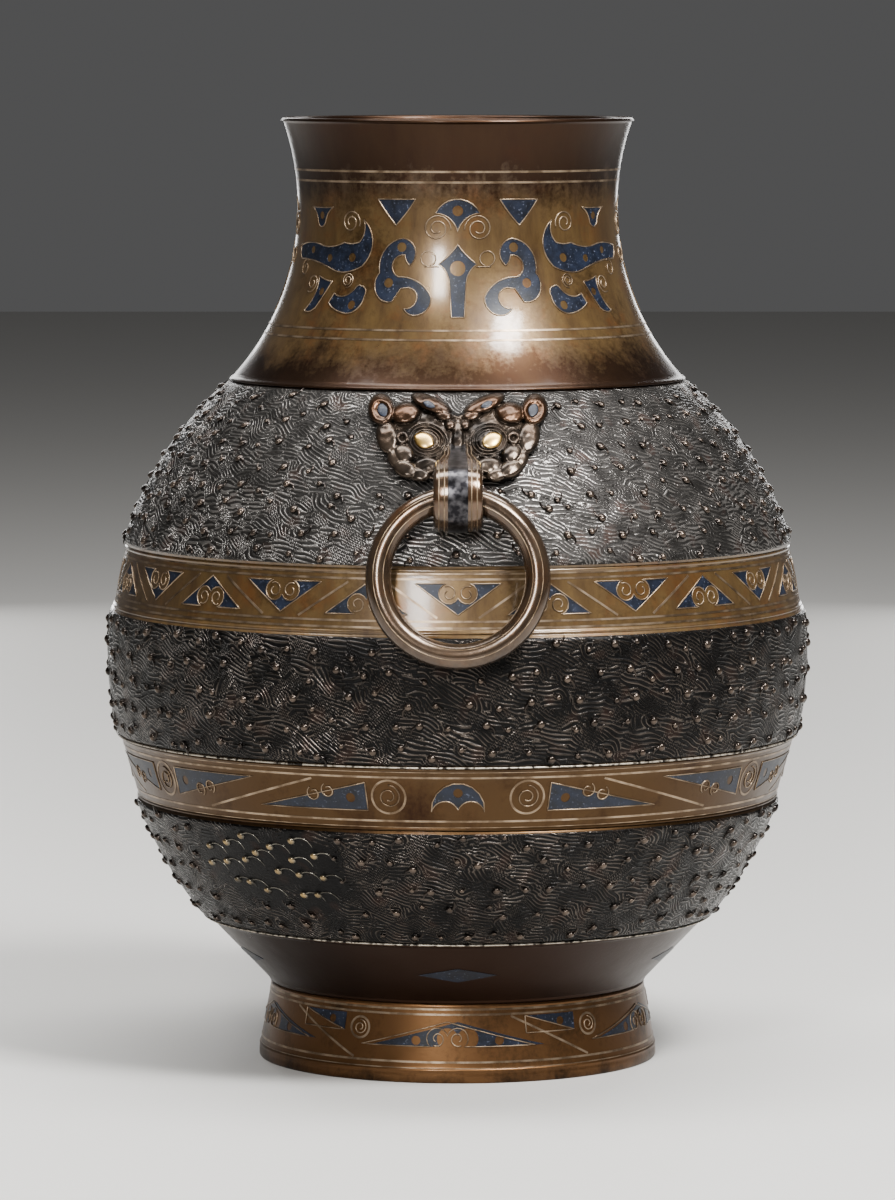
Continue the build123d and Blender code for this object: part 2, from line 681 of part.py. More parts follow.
def stud_planes(z_top, z_low):
    """Planes of every second stud of a belt between two heights."""
    top_r, low_r = (belly_point(z, belt_rise)[0] for z in (z_top, z_low))
    middle_r = belly_point((z_top + z_low) / 2, belt_rise)[0]
    per_row = 2 * round(pi * middle_r / stud_spacing)
    rows = round(hypot(low_r - top_r, z_top - z_low) / (stud_spacing * sin(radians(60))))
    places = []
    for index in range(rows * per_row):
        row, place = divmod(index, per_row)
        z = z_top - (row + 0.5) * (z_top - z_low) / rows + shaken(index, shake_up)
        turn = 360 * (place + 0.25 + row % 2 / 2) / per_row + degrees(shaken(index, shake_round) / middle_r)
        turn = turn - 270 if turn > 90 else turn + 90
        if (place + row // 2) % 2 == 0 and is_clear(turn, z):
            places.append((turn, z))
    return [stud_plane(turn, z) for turn, z in places]


# Vessel body: one casting from lip to foot, hollow, open above and below

throat_z = skirt_z - wall
with BuildPart() as vessel_body:
    with BuildSketch(Plane.XZ):
        with BuildLine():
            curve(neck_point, lip_z, skirt_z, 0.0)
            Line((skirt_r, skirt_z), belly_point(skirt_z, belt_rise))
            curve(belly_point, skirt_z, shoulder_top_z, belt_rise)
            Polyline(belly_point(shoulder_top_z, belt_rise), shoulder_top, shoulder_low,
                     belly_point(shoulder_low_z, belt_rise))
            curve(belly_point, shoulder_low_z, equator_z, belt_rise)
            curve(belly_point, equator_z, belly_top_z, belt_rise)
            Polyline(belly_point(belly_top_z, belt_rise), belly_top, belly_low,
                     belly_point(belly_low_z, belt_rise))
            curve(belly_point, belly_low_z, base_top_z, belt_rise)
            Polyline(belly_point(base_top_z, belt_rise), base_top, base_low,
                     (foot_top_r - foot_wall - plate_lap, foot_top_z), belly_point(base_top_z, -wall))
            curve(belly_point, base_top_z, equator_z, -wall)
            curve(belly_point, equator_z, throat_z, -wall)
            Line(belly_point(throat_z, -wall), neck_point(skirt_z, wall))
            curve(neck_point, skirt_z, lip_z, wall)
            Line(neck_point(lip_z, wall), neck_point(lip_z))
        make_face()
    revolve(axis=Axis.Z)
    fillet(vessel_body.edges().group_by(Axis.Z)[-1], lip_round)
    add(pockets["body"], mode=Mode.SUBTRACT)
    with PolarLocations(0, 2):
        add(tenons(tenon_gap), mode=Mode.SUBTRACT)
    for z_top, z_low in ((skirt_z, shoulder_top_z), (shoulder_low_z, belly_top_z), (belly_low_z, base_top_z)):
        with BuildSketch(*stud_planes(z_top, z_low)):
            RegularPolygon(stud_r, 6)
        extrude(amount=stud_root + stud_rise, taper=stud_taper)
    with BuildSketch(*(stud_plane(turn, z) for turn, z in mend_studs)):
        RegularPolygon(stud_r, 6)
    extrude(amount=stud_root + stud_rise, taper=stud_taper)
vessel_body.part.label = "vessel_body"
export_step(vessel_body.part, "parts/vessel_body.step")

# Foot ring, soldered under the body, and the plate set inside it that closes the vessel

with BuildPart() as foot_ring:
    with BuildSketch(Plane.XZ):
        with BuildLine():
            Polyline(foot_top, foot_rim, (foot_rim_r, 0), (foot_rim_r - foot_wall, 0),
                     (foot_rim_r - foot_wall, foot_rim_z), (foot_top_r - foot_wall, foot_top_z), close=True)
        make_face()
    revolve(axis=Axis.Z)
    add(pockets["foot"], mode=Mode.SUBTRACT)
foot_ring.part.label = "foot_ring"
export_step(foot_ring.part, "parts/foot_ring.step")

with BuildPart() as base_plate:
    with Locations((0, 0, foot_top_z)):
        Cylinder(foot_top_r - foot_wall - plate_gap, plate_thick,
                 align=(Align.CENTER, Align.CENTER, Align.MAX))
base_plate.part.label = "base_plate"
export_step(base_plate.part, "parts/base_plate.step")
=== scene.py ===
from functools import partial
from math import cos, pi, radians, sin, sqrt

import bpy
import numpy as np
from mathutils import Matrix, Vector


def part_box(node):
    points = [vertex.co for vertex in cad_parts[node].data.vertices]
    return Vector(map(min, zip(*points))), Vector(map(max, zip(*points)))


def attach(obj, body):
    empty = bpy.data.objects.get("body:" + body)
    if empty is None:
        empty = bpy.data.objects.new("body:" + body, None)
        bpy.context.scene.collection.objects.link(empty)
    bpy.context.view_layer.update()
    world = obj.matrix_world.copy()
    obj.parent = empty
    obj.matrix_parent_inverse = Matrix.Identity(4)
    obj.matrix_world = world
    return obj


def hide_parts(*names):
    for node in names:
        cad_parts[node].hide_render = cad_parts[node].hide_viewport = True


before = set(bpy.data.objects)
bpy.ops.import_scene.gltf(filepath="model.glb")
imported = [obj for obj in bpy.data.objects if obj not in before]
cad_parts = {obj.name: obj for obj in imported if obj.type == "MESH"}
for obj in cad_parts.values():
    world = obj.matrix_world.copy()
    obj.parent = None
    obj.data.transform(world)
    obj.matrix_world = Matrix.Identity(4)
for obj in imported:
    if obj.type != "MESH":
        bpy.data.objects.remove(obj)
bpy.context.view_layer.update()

# Vessel body. One hollow bronze casting from lip to base cone, cleaned, patinated brown and rubbed
# back to ochre on the smooth neck and bands. The carved belts lie over its floors, and the inlay
# stands a little proud of its bands.

mm = 0.001
lip_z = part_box("vessel_body")[1].z / mm
foot_top_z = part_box("vessel_body")[0].z / mm
waist_z, waist_r = 290.0, 54.3
skirt_z, skirt_r = 231.3, 77.5
equator_z, belly_r = 140.0, 118.0
under_skirt_r = 75.5
base_top_z, base_top_r = 48.9, 85.5
foot_top_r = 63.6
shoulder_levels = (175.6, 154.2)
belly_levels = (110.9, 89.3)
wall = 4.0
lip_round = 1.2
belt_rise = 1.2
inlay_proud = 0.12
# Heights over which the bronze turns from untouched below to handled above: wax and metal follow handling, and
# the colour's darkening below is painted shade
shaded_untouched_z, lit_handled_z = 105.0, 150.0


def arc_axis(crest_r, end_r, rise):
    """Radius of the centre of an arc that stands upright at its crest and passes through a second point."""
    return (end_r**2 + rise**2 - crest_r**2) / (2 * (end_r - crest_r))


neck_axis = arc_axis(waist_r, skirt_r, waist_z - skirt_z)
upper_axis = arc_axis(belly_r, under_skirt_r, skirt_z - equator_z)
lower_axis = arc_axis(belly_r, base_top_r, equator_z - base_top_z)


def neck_r(z, sink=0.0):
    """Radius of the neck at heights z: its arc's axis less the arc's reach at that height."""
    bend = neck_axis - waist_r + sink
    return neck_axis - np.sqrt(bend**2 - (z - waist_z) ** 2)


def belly_at(z, lift=0.0):
    """Radius of the belly at heights z, or of the surface that far over it, from its upper and lower arcs."""
    axis = np.where(z >= equator_z, upper_axis, lower_axis)
    bend = belly_r - axis + lift
    return axis + np.sqrt(bend**2 - (z - equator_z) ** 2)


def line_of(r, z):
    """Profile points from radii and heights."""
    return np.stack(np.broadcast_arrays(r, z), axis=-1)


def band_line(top, low, rim=0.45, rim_w=0.55):
    """Straight band between two profile points, sunk under its inlay, with a rolled rim at each edge.
    The rim is a bell curve across the edge."""
    top, low = np.array(top), np.array(low)
    length = np.linalg.norm(low - top)
    near = np.array([0.0, 0.25, 0.5, 0.75, 1.0, 1.25, 1.5, 1.8, 2.2])
    s = np.concatenate([near, np.linspace(3.0, length - 3.0, 10), length - near[::-1]])
    out = np.array([top[1] - low[1], low[0] - top[0]]) / length
    edge = np.minimum(s, length - s)
    height = rim * np.exp(-(((edge - 0.8) / rim_w) ** 2)) - inlay_proud
    return top + (low - top) * (s / length)[:, None] + out * height[:, None]


def quarter(centre_r, centre_z, radius, start, end):
    """Rounded edge of the profile, as an arc between two angles in degrees."""
    a = np.radians(np.linspace(start, end, 7))
    return line_of(centre_r + radius * np.cos(a), centre_z + radius * np.sin(a))


def belt_line(z_top, z_low, lift):
    """Belly profile between two heights."""
    z = np.linspace(z_top, z_low, 14)
    return line_of(belly_at(z, lift), z)


belt_floor = belt_rise - 0.6
bands = [[(float(belly_at(z)), z) for z in levels] for levels in (shoulder_levels, belly_levels)]
base_cone = [(float(belly_at(base_top_z)), base_top_z), (foot_top_r, foot_top_z)]
throat_z = skirt_z - wall
neck_z = np.linspace(lip_z - lip_round, skirt_z + 1.4, 100)
inner_z = np.linspace(base_top_z, throat_z, 44)
inner_neck_z = np.linspace(skirt_z, lip_z - lip_round, 44)
body_profile = np.concatenate([
    quarter(neck_r(lip_z, wall) + lip_round, lip_z - lip_round, lip_round, 180, 90),
    quarter(neck_r(lip_z) - lip_round, lip_z - lip_round, lip_round, 90, 0),
    line_of(neck_r(neck_z, inlay_proud), neck_z),
    line_of(skirt_r + np.array([-0.9, -0.35, -0.1, -0.05, -0.3, -1.2]),
            skirt_z + np.array([1.1, 0.7, 0.4, 0.15, -0.05, -0.1])),
    belt_line(skirt_z - 0.2, shoulder_levels[0] + 0.1, belt_floor),
    band_line(*bands[0]),
    belt_line(shoulder_levels[1] - 0.1, belly_levels[0] + 0.1, belt_floor),
    band_line(*bands[1]),
    belt_line(belly_levels[1] - 0.1, base_top_z + 0.1, belt_floor),
    band_line(*base_cone, rim=0.3),
    line_of(np.array([foot_top_r - 0.3, 58.0]), foot_top_z),
    line_of(belly_at(inner_z, -wall), inner_z),
    line_of(neck_r(inner_neck_z, wall), inner_neck_z),
])


def grid_quads(rows, cols, wrap_rows=False, wrap_cols=False):
    """Faces of a grid of points stored row by row, facing outwards when rows run down and columns to the left."""
    i = np.arange(rows if wrap_rows else rows - 1)[:, None]
    j = np.arange(cols if wrap_cols else cols - 1)[None, :]
    below, beside = (i + 1) % rows, (j + 1) % cols
    corners = [i * cols + j, below * cols + j, below * cols + beside, i * cols + beside]
    return np.stack(np.broadcast_arrays(*corners), axis=-1).reshape(-1, 4)


def around(r, z, turn):
    """Points at these radii, heights and turns in radians from the front, which faces -Y."""
    return np.stack(np.broadcast_arrays(r * np.sin(turn), -r * np.cos(turn), z), axis=-1)


def add_object(name, data):
    """Object that puts a mesh, lamp or camera into the scene."""
    made = bpy.data.objects.new(name, data)
    bpy.context.scene.collection.objects.link(made)
    return made


def piece(name, points, faces, material, body="vessel", slot="patinated_bronze"):
    """Smooth-shaded mesh of points in mm that rides on a body and takes a material's finish. The slot is not
    used.
    """
    mesh = bpy.data.meshes.new(name)
    places = (points.reshape(-1, 3) * mm).tolist()
    mesh.from_pydata(places, [], faces if isinstance(faces, list) else faces.tolist())
    mesh.shade_smooth()
    mesh.materials.append(material)
    made = add_object(name, mesh)
    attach(made, body)
    return made


def spun(profile, columns):
    """Points and faces of a closed profile turned about the vessel's axis."""
    turn = np.arange(columns) * 2 * pi / columns
    points = around(profile[:, :1], profile[:, 1:], turn[None, :])
    return points, grid_quads(len(profile), columns, wrap_rows=True, wrap_cols=True)


def srgb(code):
    """Linear colour of an sRGB hex value."""
    c = np.array([int(code[i:i + 2], 16) for i in (1, 3, 5)]) / 255
    return (*np.where(c <= 0.04045, c / 12.92, ((c + 0.055) / 1.055) ** 2.4), 1.0)


def fill(node, sockets):
    """Gives each of a shader node's sockets a value or another node's output."""
    for socket, source in sockets.items():
        if isinstance(source, bpy.types.NodeSocket):
            node.id_data.links.new(source, node.inputs[socket])
        else:
            node.inputs[socket].default_value = source


def add_node(tree, kind, sockets, out=0, **settings):
    """Adds a shader node with its sockets and settings, and hands back one of its outputs."""
    made = tree.nodes.new(f"ShaderNode{kind}")
    for name, value in settings.items():
        setattr(made, name, value)
    fill(made, sockets)
    return made.outputs[out]


def new_material(name):
    """Empty material, with what adds nodes to it, its shader and the place on the piece."""
    made = bpy.data.materials.new(name)
    made.use_nodes = True
    add = partial(add_node, made.node_tree)
    return made, add, made.node_tree.nodes["Principled BSDF"], add("TexCoord", {}, "Object")


def bronze(name, light, dark, stain, streak_mm=9.0, stain_share=0.9, roughness=0.36, metal=0.6, dark_levels=()):
    """Brown-patinated bronze: cloudy ochre and brown, drawn out in upright streaks, with patches of red copper
    rust and dark stains, thicker at the given dark levels. Below the shoulder the colour is drawn to the dark
    tone as a painted shade of light that falls from above. Hands keep it waxed from the shoulder up; lower down
    and under stains it has little wax."""
    made, add, shader, place = new_material(name)
    drawn = add("Mapping", {"Vector": place, "Scale": (1.0, 1.0, 0.18)})
    streaks, clouds, grain, rust = (
        add("TexNoise", {"Vector": at, "Scale": 1 / (size * mm), "Detail": detail, "Roughness": rough})
        for at, size, detail, rough in ((drawn, streak_mm, 7.0, 0.68), (place, 26, 6.0, 0.62),
                                        (place, 1.6, 4.0, 0.7), (place, 17, 8.0, 0.72)))
    share = add("MapRange", {"Value": streaks, "From Min": 0.32, "From Max": 0.7})
    ground = add("Mix", {0: share, 6: srgb(dark), 7: srgb(light)}, 2, data_type="RGBA")
    rusted = add("MapRange", {"Value": rust, "From Min": 0.5, "From Max": 0.66, "To Max": 0.6})
    ground = add("Mix", {0: rusted, 6: ground, 7: srgb("#5E3814")}, 2, data_type="RGBA")
    level = add("SeparateXYZ", {"Vector": place}, "Z")
    handled = add("MapRange", {"Value": level, "From Min": shaded_untouched_z * mm, "From Max": lit_handled_z * mm,
                               "To Min": 0.1})
    # Painted shade: below the shoulder the colour is drawn towards the dark tone, as light from above reaches it
    # less
    ground = add("Mix", {0: handled, 6: srgb(dark), 7: ground}, 2, data_type="RGBA")
    # Dark levels thicken the stains at given heights: dirt at some, painted shade at others, as each caller says
    stains_and_shade = add("Mix", {0: 0.45, 2: clouds, 3: streaks})
    for z, reach, weight in dark_levels:
        away = add("Math", {0: level, 1: z * mm}, operation="SUBTRACT")
        away = add("Math", {0: away}, operation="ABSOLUTE")
        near = add("MapRange", {"Value": away, "From Max": reach * mm, "To Min": weight, "To Max": 0.0})
        stains_and_shade = add("Math", {0: stains_and_shade, 1: near}, operation="ADD")
    mottled = add("Math", {0: grain, 1: 0.22, 2: stains_and_shade}, operation="MULTIPLY_ADD")
    stained = add("MapRange", {"Value": mottled, "From Min": 0.62, "From Max": 0.8, "To Max": stain_share})
    colour = add("Mix", {0: stained, 6: ground, 7: srgb(stain)}, 2, data_type="RGBA")
    gloss = add("MapRange", {"Value": clouds, "From Min": 0.3, "From Max": 0.75,
                             "To Min": roughness - 0.05, "To Max": roughness + 0.12})
    pits = add("Bump", {"Height": grain, "Strength": 0.25, "Distance": 0.12 * mm})
    wax = add("MapRange", {"Value": stained, "To Min": 0.6, "To Max": 0.04})
    wax = add("Math", {0: wax, 1: handled}, operation="MULTIPLY")
    untouched = add("Math", {0: 1.0, 1: handled}, operation="SUBTRACT")
    browned = add("Math", {0: stained, 1: untouched}, operation="MAXIMUM")
    bare = add("Math", {0: browned, 1: 0.95 - metal, 2: metal}, operation="MULTIPLY_ADD")
    fill(shader, {"Base Color": colour, "Roughness": gloss, "Normal": pits, "Metallic": bare,
                  "Coat Weight": wax, "Coat Roughness": 0.13})
    return made


# Bronze rubbed back to ochre: a warm waxy sheen on the neck and shoulder, dark with dirt at lip and skirt;
# painted shade darkens the lower band and, at its dark level, the base cone under the belly
rubbed_bronze = bronze("rubbed_ochre_bronze", light="#66502E", dark="#3D2B18", stain="#231209", roughness=0.32,
                       dark_levels=((lip_z, 32.0, 0.42), (skirt_z, 18.0, 0.26), (foot_top_z, 34.0, 0.9)))
body_columns = 288
vessel = piece("vessel_casting", *spun(body_profile, body_columns), rubbed_bronze)
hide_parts("vessel_body")

# Carved belts. Three belts of the casting, chased all over with close lines that flow round small domed
# studs and along their tails like combed waves, left black in the hollows and rubbed bare on the high places.

line_pitch = 1.2
belt_step = 0.62
belt_columns = 1200
belt_levels = {"upper": (skirt_z, shoulder_levels[0]), "middle": (shoulder_levels[1], belly_levels[0]),
               "lower": (belly_levels[1], base_top_z)}
stud_spacing, stud_shake, stud_clear = 9.8, 0.4, 3.0
shake_up, shake_round = 0.618034, 0.754878
mask_w, mask_low_z = 59.0, 204.1
strap_w, strap_low_z = 16.0, 187.4
ring_r, ring_tube_r, ring_middle_z = 25.8, 4.2, 173.3
mend_turns, mend_levels = (-55.0, -23.0), (62.5, 87.5)
mend_places = np.array([
    (-50.6, 79.7), (-45.4, 81.9), (-41.2, 84.8), (-35.2, 81.9), (-30.3, 84.5), (-26.3, 79.7), (-38.9, 79.3),
    (-41.9, 76.5), (-47.2, 75.0), (-52.1, 73.7), (-31.1, 77.8), (-34.9, 73.4), (-30.4, 72.7), (-25.4, 72.2),
    (-46.3, 68.7), (-43.0, 68.4), (-39.2, 66.1), (-30.8, 65.5), (-27.6, 65.9)])


def shaken(index, share):
    """How far a stud stands out of its row: the fraction left over from its number squared times a share."""
    return stud_shake * stud_spacing * (index**2 * share % 1 - 0.5)


def stud_places(z_top, z_low):
    """Turns in degrees and heights of a belt's studs in staggered rows, and which of them are the main ones."""
    top_r, low_r = belly_at(np.array([z_top, z_low]), belt_rise)
    middle_r = float(belly_at((z_top + z_low) / 2, belt_rise))
    per_row = 2 * round(pi * middle_r / stud_spacing)
    rows = round(float(np.hypot(low_r - top_r, z_top - z_low)) / (stud_spacing * sin(radians(60))))
    index = np.arange(rows * per_row)
    row, place = index // per_row, index % per_row
    z = z_top - (row + 0.5) * (z_top - z_low) / rows + shaken(index, shake_up)
    turn = 360 * (place + 0.25 + row % 2 / 2) / per_row + np.degrees(shaken(index, shake_round) / middle_r)
    return np.where(turn > 90, turn - 270, turn + 90), z, (place + row // 2) % 2 == 0


def is_mended(turn, z):
    """Whether a place lies on the mended patch."""
    return (turn > mend_turns[0]) & (turn < mend_turns[1]) & (z > mend_levels[0]) & (z < mend_levels[1])


def is_clear(turn, z):
    """Whether a stud stands clear of the masks, the straps and the rings at rest."""
    x = np.abs(belly_at(z, belt_rise) * np.sin(np.radians(turn)))
    off_ring = np.abs(np.hypot(x, z - ring_middle_z) - ring_r)
    under_mask = (x < mask_w / 2 + stud_clear) & (z > mask_low_z - stud_clear)
    under_strap = (x < strap_w / 2 + stud_clear) & (z > strap_low_z - stud_clear)
    under_ring = (off_ring < ring_tube_r + stud_clear) & (z < shoulder_levels[1])
    return ~(under_mask | under_strap | under_ring)


def sway(turn, s, seed):
    """Slow bends of the carved lines, round and down the belt: sums of sines whose counts round the belt are
    whole, so that it closes."""
    draw = np.random.default_rng(seed)
    total = np.zeros((2, *np.broadcast(turn, s).shape))
    for index in range(20):
        count, length, phase = draw.integers(8, 64), draw.uniform(9, 30), draw.uniform(0, 2 * pi)
        total[index % 2] += 0.2 * np.sin(count * turn + draw.choice((-1, 1)) * 2 * pi * s / length + phase)
    return total


def belt_frame(z_top, z_low):
    """Heights down a belt at even steps along its profile, and its length."""
    z = np.linspace(z_top - 0.2, z_low + 0.2, 400)
    r = belly_at(z, belt_rise)
    run = np.concatenate([[0], np.cumsum(np.hypot(np.diff(r), np.diff(z)))])
    rows = int(run[-1] / belt_step) + 1
    return np.interp(np.linspace(0, run[-1], rows), run, z), run[-1]


def dark_bronze(name, groove, ridge, rub, depth_mm=0.4, roughness=0.3):
    """Black-patinated bronze: near black in the hollows, grey-brown on the ridges, rubbed red-brown where it is
    handled most. The line attribute runs one unit from line to line of the carving; without it all is ridge."""
    made, add, shader, place = new_material(name)
    line = add("Attribute", {}, "Fac", attribute_name="line")
    wave = add("Math", {0: line, 1: 2 * pi}, operation="MULTIPLY")
    wave = add("Math", {0: wave}, operation="COSINE")
    worn = add("TexNoise", {"Vector": place, "Scale": 1 / (9 * mm), "Detail": 4.0})
    grit = add("TexNoise", {"Vector": place, "Scale": 1 / (0.9 * mm), "Detail": 3.0})
    crest = add("MapRange", {"Value": wave, "From Min": -0.25, "From Max": 0.95}, interpolation_type="SMOOTHSTEP")
    share = add("MapRange", {"Value": worn, "From Min": 0.36, "From Max": 0.6, "To Min": 0.12})
    share = add("Math", {0: crest, 1: share}, operation="MULTIPLY")
    colour = add("Mix", {0: share, 6: srgb(groove), 7: srgb(ridge)}, 2, data_type="RGBA")
    handled = add("Attribute", {}, "Fac", attribute_name="rub")
    rubbed = add("Math", {0: handled, 1: worn}, operation="MULTIPLY")
    rubbed = add("MapRange", {"Value": rubbed, "From Min": 0.2, "From Max": 0.6})
    colour = add("Mix", {0: rubbed, 6: colour, 7: srgb(rub)}, 2, data_type="RGBA")
    gloss = add("MapRange", {"Value": crest, "To Min": roughness + 0.25, "To Max": roughness})
    height = add("Math", {0: grit, 1: 0.4, 2: crest}, operation="MULTIPLY_ADD")
    carved = add("Bump", {"Height": height, "Strength": 1.0, "Distance": depth_mm * mm})
    fill(shader, {"Base Color": colour, "Roughness": gloss, "Normal": carved, "Metallic": 0.8})
    return made


def set_values(mesh, name, values, domain="POINT"):
    """Stores one number for each point or face corner of a mesh."""
    layer = mesh.attributes.new(name, "FLOAT", domain)
    layer.data.foreach_set("value", np.ascontiguousarray(values, np.float32).ravel())


# Upper belt: the carved bronze painted lighter grey, a painted sheen of the light from above on this
# upward-facing belt, with grey ridges that glint along every line
painted_sheen_bronze = dark_bronze("carved_painted_sheen_bronze", groove="#211F1D", ridge="#7A7672", rub="#4C2D20",
                            roughness=0.26)
# Lower belts: black patina, its ridges painted darker as shade of belts that face away from the light above:
# thin glints on the ridges and nothing between them
black_and_shaded_bronze = dark_bronze("carved_black_and_shaded_bronze", groove="#050404", ridge="#463F39", rub="#3F271B", roughness=0.2)
# Studs smoothed by touch: small round highlights
stud_bronze = dark_bronze("stud_bronze", groove="#15110F", ridge="#2E2722", rub="#584C42", depth_mm=0.04,
                          roughness=0.16)
# Brassy metal of the mended patch: dull yellow points
bead_brass = dark_bronze("brassy_bead_bronze", groove="#35322C", ridge="#6B675F", rub="#9A7E4C", depth_mm=0.06,
                         roughness=0.24)


def tail_path(way, bow, t):
    """Places along studs' tails from their studs: arcs that leave along a way and bend by one over the bow."""
    x, y = way[..., 0], way[..., 1]
    ahead, aside = bow * np.sin(t / bow), bow * (1 - np.cos(t / bow))
    return np.stack([ahead * x - aside * y, ahead * y + aside * x], axis=-1)


def carved_lines(u, s, girth, starts, ways, bows, lengths):
    """Carved lines counted out from the nearest stud and tail, on the belt rolled out flat. Behind a stud they
    are circles about it. Beside its tail they keep the tail's arc, also past its end."""
    nearest = np.full(np.broadcast(u, s).shape, 40.0)
    lines = np.zeros(nearest.shape)
    for start, way, bow, length in zip(starts, ways, bows, lengths):
        across = (u - start[0] + girth / 2) % girth - girth / 2
        columns = np.abs(across[0]) < 24.0
        across, down = across[:, columns], s[:, columns] - start[1]
        centre = bow * np.array([-way[1], way[0]])
        out_x, out_y = across - centre[0], down - centre[1]
        angle = np.angle((out_x + 1j * out_y) / -(centre[0] + 1j * centre[1]))
        along = bow * angle
        beside = np.abs(np.hypot(out_x, out_y) - abs(bow))
        round_stud = np.hypot(across, down)
        away = np.where(along < 0, 1.3 * round_stud, np.hypot(beside, np.clip(along - length, 0, None)))
        nearer = away < nearest[:, columns]
        lines[:, columns] = np.where(nearer, np.where(along < 0, round_stud, beside), lines[:, columns])
        nearest[:, columns] = np.where(nearer, away, nearest[:, columns])
    return lines / line_pitch


def faint_lines(turn, z, lines):
    """Carved lines on the mended patch, all but rubbed out near its beads."""
    middle_r = float(belly_at(np.mean(mend_levels), belt_rise))
    across = (turn[..., None] - np.radians(mend_places[:, 0])) * middle_r
    away = np.hypot(across - 2.0, z[..., None] - mend_places[:, 1] + 1.0).min(-1)
    left = 0.28 + 0.22 * np.clip((away - 4.0) / 4.0, 0, 1)
    return np.where(away < 8.0, 0.5 - left * (0.5 + 0.5 * np.cos(2 * pi * lines)), lines)


def unit(v):
    """Vectors of length one."""
    return v / np.linalg.norm(v, axis=-1, keepdims=True)


def studs(name, turn, z, radius, height, way, bow, length, tail_r, material):
    """Domed studs, each with a tail. A dome is the cap of a ball on eight sides; a tail is half a round bar
    that thins out along its arc. All stand square to the belly."""
    count = len(turn)
    ring, seat = np.radians([8, 38, 68, 97]), 8
    a = np.arange(seat) * 2 * pi / seat
    across = radius[:, None] * (np.sin(ring)[:, None] * np.cos(a)).ravel()
    up = radius[:, None] * (np.sin(ring)[:, None] * np.sin(a)).ravel()
    out = height[:, None] * (np.cos(ring)[:, None] + 0 * a).ravel()
    t = np.linspace(0, 1, 9)
    thick = tail_r * radius[:, None] * (1 - t) ** 0.7 + 0.08
    section = np.radians([0, 60, 120, 180])
    run = tail_path(way[:, None], bow[:, None], t * length[:, None])
    ahead = unit(np.gradient(run, axis=1))
    side = np.cos(section) * thick[:, :, None]
    tail_x = run[:, :, :1] - ahead[:, :, 1:] * side
    tail_y = run[:, :, 1:] + ahead[:, :, :1] * side
    tail_h = np.sin(section) * thick[:, :, None] * 1.1 - 0.05
    x = np.concatenate([across, tail_x.reshape(count, -1)], axis=1)
    y = np.concatenate([up, tail_y.reshape(count, -1)], axis=1)
    h = np.concatenate([out, tail_h.reshape(count, -1)], axis=1)
    slope = np.gradient(belly_at(z[None, :] + np.array([[-0.5], [0.0], [0.5]]), belt_rise), 0.5, axis=0)[1]
    level = z[:, None] + y / np.hypot(1, slope)[:, None]
    turned = np.radians(turn)[:, None] + x / belly_at(level, belt_rise)
    points = around(belly_at(level, belt_rise + h), level, turned)
    dome = grid_quads(len(ring), seat, wrap_cols=True)
    tail = grid_quads(len(t), len(section))[:, ::-1] + len(across[0])
    first = np.arange(count) * x.shape[1]
    quads = (first[:, None, None] + np.concatenate([dome, tail])).reshape(-1, 4)
    caps = first[:, None] + np.arange(seat)
    made = piece(name, points, quads.tolist() + caps.tolist(), material)
    set_values(made.data, "rub", np.clip(h / height[:, None], 0, 1).ravel())


